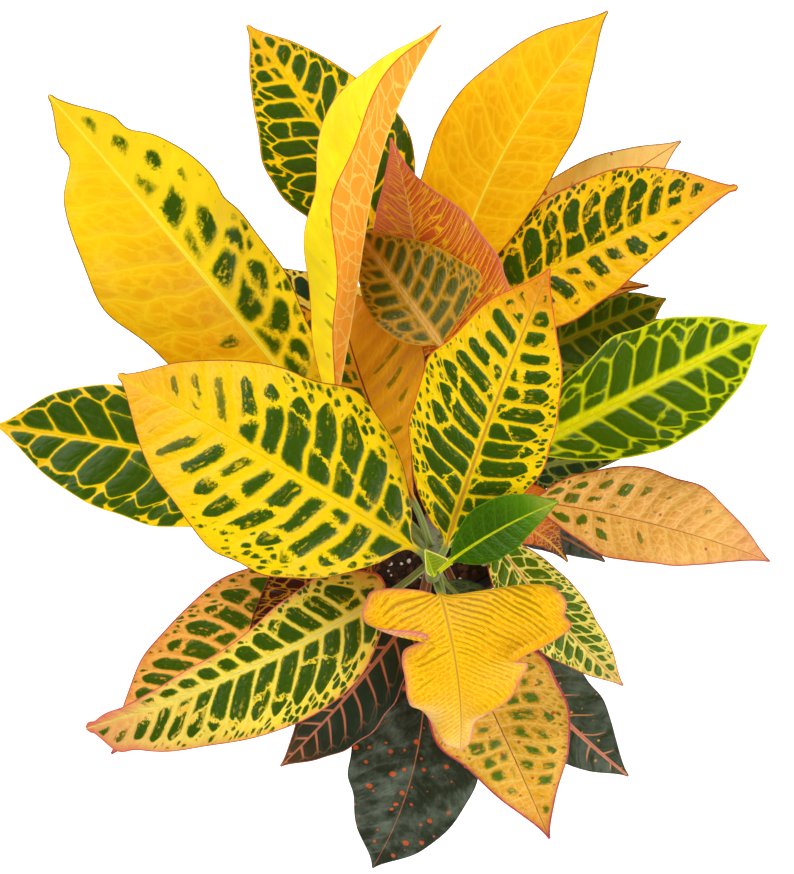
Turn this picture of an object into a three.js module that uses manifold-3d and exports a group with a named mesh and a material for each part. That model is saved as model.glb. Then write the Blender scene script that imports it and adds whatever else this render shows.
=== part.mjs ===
// A potted croton: a plain round grower's pot filled with soil, two woody stems and their large leaves.
// Millimetres, +Z up. The origin is the centre of the pot's underside, on the surface it stands on.
// Each leaf is one solid: a slender petiole that widens into a thin waved blade with a keel below it.
import * as THREE from 'three';
import { mergeVertices } from 'three/addons/utils/BufferGeometryUtils.js';
import Module from 'manifold-3d';

const wasm = await Module();
wasm.setup();

// Clearance between pieces that touch on the real plant
const GAP = 0.3;

// Pot
const POT_HEIGHT = 120;
const POT_TOP_RADIUS = 61;
const POT_BASE_RADIUS = 45;
const POT_WALL = 2.2;
const POT_FLOOR = 3;
const RIM_HEIGHT = 15;
const RIM_STEP = 2.4;
const RIM_SHOULDER = 2;
const RIM_LIP = 0.8;
const FOOT_CHAMFER = 1.5;
const POT_SIDES = 40;
const DRAIN_COUNT = 8;
const DRAIN_RADIUS = 4;
const DRAIN_CIRCLE = 31;
const DRAIN_SIDES = 12;

// Soil, level with its crown in the middle and clear of the pot's wall all round
const SOIL_LEVEL = 108;
const SOIL_CROWN = 3;
const SOIL_RINGS = 5;
const SOIL_CLEARANCE = 0.5;

// Stems: points up the middle of each one, with its radius at the foot and at the tip
const STEM_SIDES = 10;
const STEM_RINGS = 14;
const STEMS = {
  main: {
    foot: 6.2, top: 3.6,
    points: [[0, -10, 62], [0, -10, 108], [-1, -14, 180], [-2, -20, 260], [-4, -27, 335]],
  },
  back: {
    foot: 5.6, top: 3.2,
    points: [[3, 11, 62], [2, 12, 108], [-3, 27, 165], [-6, 46, 220], [0, 63, 255], [6, 78, 286]],
  },
};

// Leaves. A petiole starts beside its stem, lifted by PETIOLE_RISE, and LEAN_SHARE of the stem's lean is
// added to its clearance. RIGHT_PHASE sets the waves of the right margin apart from the left one's.
const BLADE_THICKNESS = 0.8;
const PETIOLE_RADIUS = 1.8;
const PETIOLE_RINGS = 3;
const PETIOLE_RISE = 0.5;
const LEAN_SHARE = 0.7;
const KEEL_DEPTH = 1.1;
const TIP_WIDTH = 0.6;
const RIGHT_PHASE = 0.35;

// One entry for each leaf. stem and height say where its petiole leaves, base and tip are the ends of
// the blade. bow and sway bend the midrib to its left, arch lifts its middle and crest its first half.
// roll turns the blade to its left, in degrees at the base and at the tip. fold raises both halves, curl
// bends them further out, sweep draws their margins back beside the base, first the left one. left and
// right are the widths of the halves at equal steps, mostly sixths of the length. wave gives the height,
// number and start of the waves along the margins.
const LEAVES = {
  leaf_left_gold: {
    stem: 'main', height: 246, base: [-50, 35, 266], tip: [-187, 203, 345], bow: -2, arch: 10,
    roll: [0, 0], fold: 9, curl: -14, wave: [2.5, 3, 0.1],
    left: [27, 37, 47, 42, 25], right: [20, 29, 34, 33, 23],
  },
  leaf_back_left_green: {
    stem: 'back', height: 238, base: [-24, 135, 262], tip: [-96, 246, 300], bow: -4, arch: 8,
    roll: [0, 0], fold: 10, curl: -10, wave: [1.5, 3, 0.4],
    left: [22, 33, 36, 28, 16], right: [24, 36, 34, 26, 14],
  },
  leaf_back_folded: {
    stem: 'main', height: 300, base: [-53, 51, 292], tip: [-1, 226, 392], bow: 9, sway: -3, arch: 12,
    roll: [60, 82], fold: 38, curl: 0, wave: [2, 3, 0.2],
    left: [20, 29, 37, 38, 28], right: [14, 30, 36, 33, 24],
  },
  leaf_back_right_gold: {
    stem: 'back', height: 270, base: [5, 111, 270], tip: [80, 244, 340], bow: 11, arch: 2,
    roll: [0, 0], fold: 10, curl: -16, wave: [1.2, 3, 0.6],
    left: [25, 33, 35, 29, 18], right: [17, 25, 27, 26, 15],
  },
  leaf_back_brick: {
    stem: 'back', height: 262, base: [-9, 80, 276], tip: [-24, 184, 335], bow: -5, arch: 4,
    roll: [12, 12], fold: -8, curl: 0, wave: [1.5, 3, 0.5],
    left: [20, 24, 24, 18, 9], right: [40, 44, 36, 22, 6],
  },
  leaf_centre_olive: {
    stem: 'back', height: 281, base: [1, 86, 298], tip: [-43, 143, 318], bow: 0, arch: 16,
    roll: [0, 0], fold: 0, curl: 0, wave: [1, 3, 0.1],
    left: [14, 19, 19, 14, 8], right: [34, 33, 28, 20, 10],
  },
  leaf_centre_amber: {
    stem: 'main', height: 264, base: [-13, 8, 278], tip: [-52, 117, 290], bow: 4, arch: 4,
    roll: [0, 0], fold: 6, curl: 0, wave: [1, 3, 0.3],
    left: [8, 14, 18, 16, 10], right: [9, 18, 30, 35, 26],
  },
  leaf_front_left_large: {
    stem: 'main', height: 312, base: [-12, -14, 332], tip: [-155, 70, 338], bow: -2, arch: 14,
    roll: [0, 0], fold: 7, curl: -14, wave: [2, 3, 0.3],
    left: [33, 48, 50, 41, 26], right: [31, 47, 43, 37, 22],
  },
  leaf_centre_upright: {
    stem: 'main', height: 318, base: [3, -12, 330], tip: [47, 115, 405], bow: 2, arch: 6,
    roll: [0, 0], fold: 12, curl: -10, wave: [1.5, 3, 0.1],
    left: [21, 32, 36, 31, 20], right: [20, 30, 31, 25, 13],
  },
  leaf_top_small_green: {
    stem: 'main', height: 331, base: [5, -19, 339], tip: [54, 10, 368], bow: 2, arch: 2,
    roll: [0, 0], fold: 12, curl: -10, wave: [0.6, 2, 0.2],
    left: [9, 14, 15, 13, 8], right: [9, 12, 12, 9, 5],
  },
  leaf_bud: {
    stem: 'main', height: 333, base: [-4, -25, 344], tip: [-8, -12, 374], bow: 0, arch: 0,
    roll: [-20, -20], fold: 32, curl: 0, wave: [0, 2, 0],
    left: [3, 4, 4, 3, 2], right: [4, 7, 9, 7, 4],
  },
  leaf_front_curly: {
    stem: 'main', height: 322, base: [0, -36, 331], tip: [11, -119, 285], bow: 3, arch: 26, sweep: [0, 20],
    roll: [0, 0], fold: 8, curl: -20, wave: [5, 3, 0.15], across: 8, along: 32,
    left: [51, 56, 57, 58, 60, 40, 30, 32, 30, 25, 15, 10, 7, 6, 5],
    right: [31, 38, 40, 34, 13, 23, 26, 26, 26, 24, 22, 19, 15, 11, 7],
  },
  leaf_front_peach: {
    stem: 'main', height: 272, base: [9, -61, 280], tip: [61, -176, 228], bow: 1, arch: 6,
    roll: [0, 0], fold: 8, curl: -10, wave: [1.5, 3, 0.6],
    left: [30, 38, 35, 27, 11], right: [27, 33, 27, 19, 9],
  },
  leaf_front_spotted: {
    stem: 'main', height: 202, base: [-6, -76, 215], tip: [-35, -207, 160], bow: 9, arch: 8,
    roll: [0, 0], fold: 10, curl: -10, wave: [1.5, 3, 0.2],
    left: [26, 34, 36, 30, 20], right: [26, 34, 36, 30, 20],
  },
  leaf_front_pink_veined: {
    stem: 'main', height: 226, base: [-13, -54, 242], tip: [-85, -141, 205], bow: 2, arch: 6,
    roll: [0, 0], fold: 8, curl: -8, wave: [1, 3, 0.4],
    left: [14, 20, 23, 20, 12], right: [16, 22, 22, 17, 8],
  },
  leaf_lower_left_large: {
    stem: 'main', height: 288, base: [-24, -38, 296], tip: [-181, -110, 272], bow: 5, arch: 8, sweep: [0, 12],
    roll: [0, 0], fold: 8, curl: -10, wave: [2, 3, 0.5],
    left: [26, 35, 34, 29, 21], right: [25, 22, 15, 11, 6],
  },
  leaf_far_left_green: {
    stem: 'main', height: 232, base: [-51, 14, 252], tip: [-230, 46, 262], bow: -2, arch: 8,
    roll: [0, 0], fold: 8, curl: -10, wave: [1.5, 3, 0.2],
    left: [22, 34, 38, 34, 22], right: [20, 29, 31, 30, 22],
  },
  leaf_lower_left_peach: {
    stem: 'main', height: 220, base: [-54, -28, 238], tip: [-177, -133, 212], bow: -3, arch: 6,
    roll: [0, 0], fold: 8, curl: -10, wave: [1.5, 3, 0.1],
    left: [18, 26, 28, 24, 12], right: [22, 31, 31, 27, 16],
  },
  leaf_lower_left_maroon: {
    stem: 'main', height: 248, base: [-27, -18, 262], tip: [-101, -68, 240], bow: -4, arch: 6,
    roll: [0, 0], fold: 12, curl: -10, wave: [1, 2, 0.1],
    left: [12, 18, 20, 16, 9], right: [12, 19, 21, 17, 9],
  },
  leaf_right_lime: {
    stem: 'back', height: 240, base: [44, 33, 262], tip: [164, 96, 300], bow: 0, arch: 8,
    roll: [0, 0], fold: 10, curl: -14, wave: [1.5, 3, 0.3],
    left: [17, 24, 30, 27, 17], right: [17, 28, 32, 29, 19],
  },
  leaf_right_golden_green: {
    stem: 'back', height: 262, base: [15, 100, 266], tip: [145, 162, 325], bow: 4, arch: 6,
    roll: [0, 0], fold: 8, curl: -10, wave: [1.5, 3, 0.1],
    left: [20, 30, 33, 31, 19], right: [22, 27, 24, 17, 8],
  },
  leaf_right_pale_peach: {
    stem: 'back', height: 252, base: [17, 112, 250], tip: [121, 188, 300], bow: 3, arch: 4,
    roll: [0, 0], fold: 8, curl: -8, wave: [1, 2, 0.2], along: 8,
    left: [12, 19, 21, 19, 11], right: [12, 18, 20, 18, 12],
  },
  leaf_right_pink: {
    stem: 'back', height: 236, base: [49, 112, 255], tip: [107, 117, 284], bow: 0, arch: 2,
    roll: [0, 0], fold: 12, curl: 0, wave: [0.5, 2, 0.1], along: 8,
    left: [8, 11, 11, 8, 4], right: [5, 6, 5, 4, 2],
  },
  leaf_right_deep_green: {
    stem: 'back', height: 222, base: [45, 80, 235], tip: [119, 112, 262], bow: 1, arch: 3,
    roll: [0, 0], fold: 10, curl: -8, wave: [0.8, 2, 0.3], along: 8,
    left: [12, 18, 19, 15, 9], right: [12, 18, 20, 17, 12],
  },
  leaf_right_olive: {
    stem: 'back', height: 206, base: [43, 56, 220], tip: [155, 93, 255], bow: 4, arch: 2,
    roll: [0, 0], fold: 8, curl: -8, wave: [0.8, 2, 0.1], along: 8,
    left: [12, 19, 22, 19, 13], right: [12, 18, 20, 17, 10],
  },
  leaf_right_tan: {
    stem: 'main', height: 252, base: [48, 7, 262], tip: [180, -27, 225], bow: 4, arch: 6,
    roll: [0, 0], fold: 8, curl: -10, wave: [1.5, 3, 0.4],
    left: [18, 26, 28, 24, 14], right: [14, 22, 21, 17, 8],
  },
  leaf_right_teal: {
    stem: 'back', height: 198, base: [24, 17, 218], tip: [105, 30, 215], bow: 2, arch: 4,
    roll: [0, 0], fold: 8, curl: -8, wave: [0.8, 2, 0.2], along: 8,
    left: [10, 16, 17, 14, 8], right: [10, 13, 12, 9, 5],
  },
  leaf_right_rolled_brown: {
    stem: 'main', height: 236, base: [13, -12, 244], tip: [72, -28, 214], bow: 12, arch: 4,
    roll: [0, 0], fold: 4, curl: -10, wave: [0.8, 2, 0.1], along: 8,
    left: [10, 17, 25, 20, 6], right: [8, 11, 10, 7, 4],
  },
  leaf_right_dark_grey: {
    stem: 'main', height: 222, base: [23, 1, 226], tip: [94, -29, 198], bow: 4, arch: 4,
    roll: [0, 0], fold: 8, curl: -8, wave: [0.8, 2, 0.3], along: 8,
    left: [9, 14, 15, 12, 7], right: [8, 12, 12, 9, 5],
  },
  leaf_lower_right_cream: {
    stem: 'main', height: 262, base: [26, -8, 268], tip: [99, -92, 240], bow: -3, arch: 6,
    roll: [0, 0], fold: 8, curl: -10, wave: [1.2, 3, 0.2],
    left: [11, 16, 18, 15, 10], right: [13, 18, 19, 16, 9],
  },
  leaf_lower_right_dark: {
    stem: 'main', height: 210, base: [24, -63, 222], tip: [108, -149, 190], bow: -3, arch: 5,
    roll: [0, 0], fold: 8, curl: -8, wave: [1, 3, 0.4],
    left: [14, 22, 25, 22, 11], right: [14, 21, 23, 20, 12],
  },
  leaf_inner_cream_veined: {
    stem: 'back', height: 228, base: [-22, 84, 240], tip: [-100, 131, 258], bow: 2, arch: 4,
    roll: [0, 0], fold: 8, curl: -8, wave: [0.8, 2, 0.1], along: 8,
    left: [12, 18, 19, 15, 8], right: [12, 18, 19, 15, 8],
  },
  leaf_inner_bronze: {
    stem: 'back', height: 222, base: [-49, 49, 245], tip: [-77, 111, 272], bow: 0, arch: 2,
    roll: [0, 0], fold: 8, curl: -8, wave: [0.6, 2, 0.2], along: 8,
    left: [7, 11, 12, 10, 6], right: [8, 13, 15, 14, 9],
  },
  leaf_inner_dark_green: {
    stem: 'main', height: 240, base: [4, -36, 248], tip: [34, -68, 240], bow: 0, arch: 2,
    roll: [0, 0], fold: 8, curl: -8, wave: [0.5, 2, 0.1], along: 8,
    left: [9, 13, 13, 11, 6], right: [7, 10, 11, 9, 5],
  },
  leaf_inner_young: {
    stem: 'back', height: 255, base: [-6, 77, 264], tip: [-44, 119, 268], bow: 0, arch: 4,
    roll: [0, 0], fold: 10, curl: -8, wave: [0.5, 2, 0.3], along: 8,
    left: [7, 9, 9, 7, 4], right: [13, 15, 12, 9, 5],
  },
};
const DEFAULT_ALONG = 12;
const DEFAULT_ACROSS = 4;

const MERGE_TOLERANCE = 1e-4;
const HEIGHT_SEARCH_STEP = 0.002;
const SLOPE_STEP = 0.01;

const vec = (p) => new THREE.Vector3(...p);
const radians = THREE.MathUtils.degToRad;
const mix = THREE.MathUtils.lerp;
const UP = new THREE.Vector3(0, 0, 1);

// Closed lathe about +Z from [radius, height] pairs that start and end on the axis
function turned(profile, sides) {
  const points = profile.map(([r, z]) => new THREE.Vector2(r, z));
  return new THREE.LatheGeometry(points, sides).rotateX(Math.PI / 2);
}

function toManifold(geometry) {
  const bare = geometry.clone();
  bare.deleteAttribute('normal');
  bare.deleteAttribute('uv');
  const merged = mergeVertices(bare, MERGE_TOLERANCE);
  return new wasm.Manifold(new wasm.Mesh({
    numProp: 3,
    vertProperties: new Float32Array(merged.attributes.position.array),
    triVerts: new Uint32Array(merged.index.array),
  }));
}

function fromManifold(solid) {
  const mesh = solid.getMesh();
  const geometry = new THREE.BufferGeometry();
  geometry.setAttribute('position', new THREE.BufferAttribute(new Float32Array(mesh.vertProperties), 3));
  geometry.setIndex(new THREE.BufferAttribute(new Uint32Array(mesh.triVerts), 1));
  geometry.computeVertexNormals();
  return geometry;
}

// Rings of points, all with the same count, joined into one closed body with a flat cap at each end.
// splitsForward says along which diagonal the quads after a column are split, so that the two faces of
// a thin blade can be split alike.
function lofted(rings, splitsForward) {
  const count = rings[0].length;
  const positions = rings.flat().flatMap((p) => [p.x, p.y, p.z]);
  const index = [];
  for (let i = 0; i + 1 < rings.length; i += 1) {
    for (let j = 0; j < count; j += 1) {
      const a = i * count + j;
      const b = i * count + (j + 1) % count;
      const c = a + count;
      const d = b + count;
      if (splitsForward(j)) index.push(a, b, d, a, d, c);
      else index.push(a, b, c, b, d, c);
    }
  }
  const last = (rings.length - 1) * count;
  for (let j = 1; j + 1 < count; j += 1) {
    index.push(0, j + 1, j);
    index.push(last, last + j, last + j + 1);
  }
  const geometry = new THREE.BufferGeometry();
  geometry.setAttribute('position', new THREE.Float32BufferAttribute(positions, 3));
  geometry.setIndex(index);
  geometry.computeVertexNormals();
  return geometry;
}

// Radius of the pot's outside at a height, below its rim band
function potRadius(z) {
  return mix(POT_BASE_RADIUS, POT_TOP_RADIUS - RIM_STEP, z / POT_HEIGHT);
}

function potGeometry() {
  const shoulder = POT_HEIGHT - RIM_HEIGHT;
  const body = turned([
    [0, 0],
    [POT_BASE_RADIUS - FOOT_CHAMFER, 0],
    [POT_BASE_RADIUS, FOOT_CHAMFER],
    [potRadius(shoulder - RIM_SHOULDER), shoulder - RIM_SHOULDER],
    [POT_TOP_RADIUS - RIM_LIP, shoulder],
    [POT_TOP_RADIUS, shoulder + RIM_LIP],
    [POT_TOP_RADIUS + RIM_LIP, POT_HEIGHT - RIM_LIP],
    [POT_TOP_RADIUS, POT_HEIGHT],
    [POT_TOP_RADIUS - POT_WALL, POT_HEIGHT],
    [potRadius(shoulder) - POT_WALL, shoulder - POT_WALL],
    [potRadius(POT_FLOOR) - POT_WALL, POT_FLOOR],
    [0, POT_FLOOR],
  ], POT_SIDES);
  let pot = toManifold(body);
  for (let i = 0; i < DRAIN_COUNT; i += 1) {
    const angle = (i + 0.5) / DRAIN_COUNT * 2 * Math.PI;
    const drain = new THREE.CylinderGeometry(DRAIN_RADIUS, DRAIN_RADIUS, POT_FLOOR * 4, DRAIN_SIDES)
      .rotateX(Math.PI / 2)
      .translate(DRAIN_CIRCLE * Math.cos(angle), DRAIN_CIRCLE * Math.sin(angle), 0);
    pot = pot.subtract(toManifold(drain));
  }
  return fromManifold(pot);
}

// Points and radii up a stem, widened by extra
function stemGeometry({ foot, top, points }, extra = 0) {
  const curve = new THREE.CatmullRomCurve3(points.map(vec));
  const rings = [];
  for (let i = 0; i <= STEM_RINGS; i += 1) {
    const t = i / STEM_RINGS;
    const centre = curve.getPoint(t);
    const radius = mix(foot, top, t) + extra;
    rings.push(Array.from({ length: STEM_SIDES }, (_, j) => {
      const angle = j / STEM_SIDES * 2 * Math.PI;
      return new THREE.Vector3(radius * Math.cos(angle), radius * Math.sin(angle), 0).add(centre);
    }));
  }
  rings[0].forEach((p) => { p.z -= extra; });
  return lofted(rings, () => true);
}

function soilGeometry() {
  const inside = (z) => potRadius(z) - POT_WALL - SOIL_CLEARANCE;
  const underside = POT_FLOOR + GAP;
  const edge = inside(SOIL_LEVEL - SOIL_CROWN);
  const profile = [[0, underside], [inside(underside), underside]];
  for (let i = SOIL_RINGS; i >= 0; i -= 1) {
    const share = i / SOIL_RINGS;
    profile.push([edge * share, SOIL_LEVEL - SOIL_CROWN * share * share]);
  }
  let soil = toManifold(turned(profile, POT_SIDES));
  for (const stem of Object.values(STEMS)) {
    soil = soil.subtract(toManifold(stemGeometry(stem, GAP)));
  }
  return fromManifold(soil);
}

// Smooth curve through a half's widths, from the petiole to the tip
function halfWidth(widths, t) {
  const all = [PETIOLE_RADIUS, ...widths, TIP_WIDTH];
  const x = t * (all.length - 1);
  const i = Math.min(Math.floor(x), all.length - 2);
  const f = x - i;
  const [p1, p2] = [all[i], all[i + 1]];
  const p0 = i > 0 ? all[i - 1] : 2 * p1 - p2;
  const p3 = i + 2 < all.length ? all[i + 2] : p2;
  const m1 = (p2 - p0) / 2;
  const m2 = (p3 - p1) / 2;
  const f2 = f * f;
  const f3 = f2 * f;
  return Math.max(TIP_WIDTH, (2 * f3 - 3 * f2 + 1) * p1 + (f3 - 2 * f2 + f) * m1
    + (3 * f2 - 2 * f3) * p2 + (f3 - f2) * m2);
}

// Point of the blade's midrib, from 0 at its base to 1 at its tip
function midrib(leaf, t) {
  const base = vec(leaf.base);
  const tip = vec(leaf.tip);
  const left = new THREE.Vector3(base.y - tip.y, tip.x - base.x, 0).normalize();
  const hump = 4 * t * (1 - t);
  const turn = Math.sin(2 * Math.PI * t);
  return base.lerp(tip, t)
    .addScaledVector(left, leaf.bow * hump + (leaf.sway ?? 0) * turn)
    .addScaledVector(UP, leaf.arch * hump + (leaf.crest ?? 0) * turn);
}

function midribDirection(leaf, t) {
  return midrib(leaf, t + SLOPE_STEP).sub(midrib(leaf, t - SLOPE_STEP)).normalize();
}

// Directions to the left of a path and out of the blade's upper face, rolled about the path
function frameAt(direction, roll) {
  const left = UP.clone().cross(direction).normalize().applyAxisAngle(direction, -radians(roll));
  const out = direction.clone().cross(left);
  return { left, out };
}

// Middle of the blade's thickness at t along it and u across it, from -1 at the right margin to 1
function bladePoint(leaf, t, u) {
  const { left, out } = frameAt(midribDirection(leaf, t), mix(leaf.roll[0], leaf.roll[1], t));
  const reach = Math.abs(u) * halfWidth(u < 0 ? leaf.right : leaf.left, t);
  const slope = radians(leaf.fold + leaf.curl * Math.abs(u) / 2);
  const [height, count, start] = leaf.wave;
  const phase = start + (u < 0 ? RIGHT_PHASE : 0);
  const swell = Math.sin(Math.PI * t);
  const wave = height * u * u * swell * Math.sin(2 * Math.PI * (count * t + phase));
  const sweep = (leaf.sweep?.[u < 0 ? 1 : 0] ?? 0) * u * u * (1 - t) ** 2;
  return midrib(leaf, t)
    .addScaledVector(midribDirection(leaf, t), -sweep)
    .addScaledVector(left, Math.sign(u) * reach * Math.cos(slope))
    .addScaledVector(out, reach * Math.sin(slope) + wave);
}

// The petiole leaves the stem's side outward and upward, and ends along the midrib
function petiolePath(leaf) {
  const stem = STEMS[leaf.stem];
  const curve = new THREE.CatmullRomCurve3(stem.points.map(vec));
  let share = 0;
  while (curve.getPoint(share).z < leaf.height) share += HEIGHT_SEARCH_STEP;
  const axis = curve.getPoint(share);
  const base = vec(leaf.base);
  const out = new THREE.Vector3(base.x - axis.x, base.y - axis.y, 0).normalize();
  const first = out.clone().addScaledVector(UP, PETIOLE_RISE).normalize();
  const axisDirection = curve.getTangent(share);
  const lean = Math.abs(axisDirection.dot(out)) / axisDirection.z;
  const offset = mix(stem.foot, stem.top, share) + GAP + PETIOLE_RADIUS * (first.z + lean * LEAN_SHARE);
  const start = axis.addScaledVector(out, offset);
  const reach = start.distanceTo(base) / 3;
  const last = midribDirection(leaf, 0);
  return new THREE.CubicBezierCurve3(
    start,
    start.clone().addScaledVector(first, reach),
    base.clone().addScaledVector(last, -reach),
    base,
  );
}

// Columns run from the left margin to the right one over the top, then back below
function leafGeometry(leaf) {
  const across = leaf.across ?? DEFAULT_ACROSS;
  const along = leaf.along ?? DEFAULT_ALONG;
  const columns = Array.from({ length: across + 1 }, (_, j) => 1 - 2 * j / across);
  const rings = [];
  const path = petiolePath(leaf);
  for (let i = 0; i <= PETIOLE_RINGS; i += 1) {
    const t = i / PETIOLE_RINGS;
    const direction = path.getTangent(t);
    const { left, out } = frameAt(direction, leaf.roll[0] * t);
    const centre = path.getPoint(t);
    const arc = (sign) => columns.map((_, j) => {
      const angle = (j + 0.5) / columns.length * Math.PI;
      return centre.clone()
        .addScaledVector(left, PETIOLE_RADIUS * Math.cos(angle))
        .addScaledVector(out, sign * PETIOLE_RADIUS * Math.sin(angle));
    });
    rings.push([...arc(1), ...arc(-1).reverse()]);
  }
  const half = BLADE_THICKNESS / 2;
  for (let i = 1; i <= along; i += 1) {
    const t = i / along;
    const faces = columns.map((u, j) => {
      const centre = bladePoint(leaf, t, u);
      const acrossBlade = bladePoint(leaf, t, Math.min(u + SLOPE_STEP, 1))
        .sub(bladePoint(leaf, t, Math.max(u - SLOPE_STEP, -1)));
      const normal = midribDirection(leaf, t).cross(acrossBlade).normalize();
      const keel = j === across / 2 ? KEEL_DEPTH * (1 - t) : 0;
      const depth = half + keel;
      return [centre.clone().addScaledVector(normal, half), centre.addScaledVector(normal, -depth)];
    });
    rings.push([...faces.map((f) => f[0]), ...faces.map((f) => f[1]).reverse()]);
  }
  const middle = columns.length;
  return lofted(rings, (j) => j < middle);
}

// Materials
const finish = (color, roughness, metalness = 0) => (
  new THREE.MeshStandardMaterial({ color, roughness, metalness })
);
const LEAF_COLOURS = {
  gold: 0xe3b512, green: 0x3f6b12, brick: 0xb5551f, olive: 0x8a7a1e, dark: 0x27352a, peach: 0xe0a85a,
};
const colourOf = (name) => {
  const [, shade] = Object.entries({
    dark: 'dark', spotted: 'dark', teal: 'dark', grey: 'dark', maroon: 'brick', brown: 'brick',
    brick: 'brick', gold: 'gold', amber: 'gold', curly: 'gold', folded: 'gold', peach: 'peach',
    tan: 'peach', pink: 'peach', olive: 'olive', bronze: 'olive',
  }).find(([word]) => name.includes(word)) ?? ['', 'green'];
  return LEAF_COLOURS[shade];
};

const plant = new THREE.Group();
function add(name, geometry, material) {
  const mesh = new THREE.Mesh(geometry, material);
  mesh.name = name;
  plant.add(mesh);
}
add('pot', potGeometry(), finish(0x2b2b2c, 0.55));
add('soil', soilGeometry(), finish(0x231c18, 0.95));
for (const [name, stem] of Object.entries(STEMS)) {
  add(`stem_${name}`, stemGeometry(stem), finish(0x6e6a4a, 0.8));
}
for (const [name, leaf] of Object.entries(LEAVES)) {
  add(name, leafGeometry(leaf), finish(colourOf(name), 0.4));
}

export default plant;
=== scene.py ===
"""A potted croton seen from above: a dark grower's pot, potting soil, two woody stems and 35 leaves."""
import math
import random
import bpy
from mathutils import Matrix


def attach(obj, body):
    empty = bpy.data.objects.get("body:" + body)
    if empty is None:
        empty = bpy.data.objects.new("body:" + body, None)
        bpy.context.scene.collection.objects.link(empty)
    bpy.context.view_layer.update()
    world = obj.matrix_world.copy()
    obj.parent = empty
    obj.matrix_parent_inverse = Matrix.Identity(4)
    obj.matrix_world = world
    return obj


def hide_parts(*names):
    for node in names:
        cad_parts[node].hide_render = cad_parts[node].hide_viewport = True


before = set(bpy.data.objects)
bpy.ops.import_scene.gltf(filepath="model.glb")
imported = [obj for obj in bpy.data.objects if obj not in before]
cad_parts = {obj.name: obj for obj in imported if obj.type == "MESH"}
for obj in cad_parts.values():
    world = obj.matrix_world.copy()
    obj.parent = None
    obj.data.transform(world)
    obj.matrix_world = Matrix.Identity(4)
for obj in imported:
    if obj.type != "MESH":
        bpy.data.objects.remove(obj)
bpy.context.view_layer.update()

from types import SimpleNamespace

import bmesh
import bpy
import numpy as np
from mathutils import Vector, noise

MM = 0.001
UP = np.array([0, 0, 1.0])

# Camera, straight above the plant, in metres. FOCAL_PIXELS holds for a frame 874 pixels high.
CAMERA_PLACE = (-0.021, 0.040, 1.250)
CAMERA_REACH = 50
FOCAL_PIXELS = 1900
FRAME_PIXELS_HIGH = 874
SENSOR = 36

# Pot and soil, in millimetres, as the solids have them
POT_HEIGHT = 120
POT_TOP_RADIUS = 61
POT_BASE_RADIUS = 45
POT_WALL = 2.2
POT_FLOOR = 3
RIM_HEIGHT = 15
RIM_STEP = 2.4
FOOT_CHAMFER = 1.5
DRAIN_COUNT = 8
DRAIN_RADIUS = 4
DRAIN_CIRCLE = 31
SOIL_LEVEL = 108
SOIL_CROWN = 3

# Stems: points up the middle of each one, with its radius at the foot and at the top
STEMS = {
    "main": SimpleNamespace(
        foot=6.2, top=3.6,
        points=((0, -10, 62), (0, -10, 108), (-1, -14, 180), (-2, -20, 260), (-4, -27, 335)),
    ),
    "back": SimpleNamespace(
        foot=5.6, top=3.2,
        points=((3, 11, 62), (2, 12, 108), (-3, 27, 165), (-6, 46, 220), (0, 63, 255), (6, 78, 286)),
    ),
}

# Colours as they show in daylight
COLOURS = {
    "gold": "#f6b804", "deep_gold": "#eea208", "rich_gold": "#eeac00", "lemon": "#f8e41e",
    "yellow": "#fad002", "bright": "#ffd91c", "cream": "#f0e062", "pale": "#f4e468", "amber": "#da980a",
    "honey": "#d9a02a", "orange": "#ea8f2c", "peach": "#f2bc5c", "tan_line": "#f4c468",
    "pink_tan": "#dd9a62", "brick": "#dc6a20", "rose": "#dc7c50", "copper": "#c46a2a", "lime": "#d4da04",
    "leaf_green": "#506e00", "deep_green": "#334f00", "bright_green": "#4a7200",
    "fresh_green": "#5a8a04", "glossy_green": "#325900", "teal_green": "#1d3c2c", "olive": "#6a6600",
    "moss": "#8d8c0e", "blackish": "#1c2416", "slate": "#2f3624", "dusty_grey": "#7f8c78",
    "red": "#b23426", "red_brown": "#85341a", "tip_red": "#d8531f", "pink": "#dc7a62",
    "salmon": "#e08a66", "magenta": "#b22c48", "maroon": "#35130c", "under_gold": "#d89c3e",
    "under_green": "#8a9a4e", "under_brown": "#8e5a38", "under_orange": "#ff9e26",
}

# What every leaf has unless its own call, or the kind that it is like, says otherwise:
# roll turns the blade to its left, in degrees at the base and tip. sway bends the midrib twice. sweep
# draws the right margin back beside the base. wobble, ruffle and quilt are how far the widths vary, the
# margin frills and the blade swells between its veins. tip_radius rounds the tip, all in millimetres but
# wobble. nicks are notches in the margin, or bulges if their depth is below 0: half, 1 left or -1 right,
# place, reach and depth. rolls are rolled stretches of it: half, place, reach and degrees. fineness adds
# rows and columns to the mesh.
# ground is the colour without green, ground_tip that towards the tip, ground_right that of the right half.
# green and shade are the patches and their middles. share is how much of the left half they cover at its
# base, middle and tip, share_right the same on the right if it differs. cell is their length, softness the
# blur of their edges, marbling how ragged they are, and outer_fill how far they join near the margin.
# veins is the number of side veins in a half, slant how far they lean to the tip at the base and tip, lean
# what the right half adds to it, stray how far they wander, vein_reach the share of the half that they
# cross. halo is the vein colour beside them. net, net_length and net_scale are the strength, stretch and
# fineness of the net between them. blush is a colour at the tip and along the margin. specks is the share
# of places with a dot, bloom the strength of a grey painted sheen on top, under_mix how far the back
# hides the pattern, and relief the strength of the fine bumps. Widths, cell and speck_size are in
# centimetres.
BARE = (-1, -1, -1)
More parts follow.
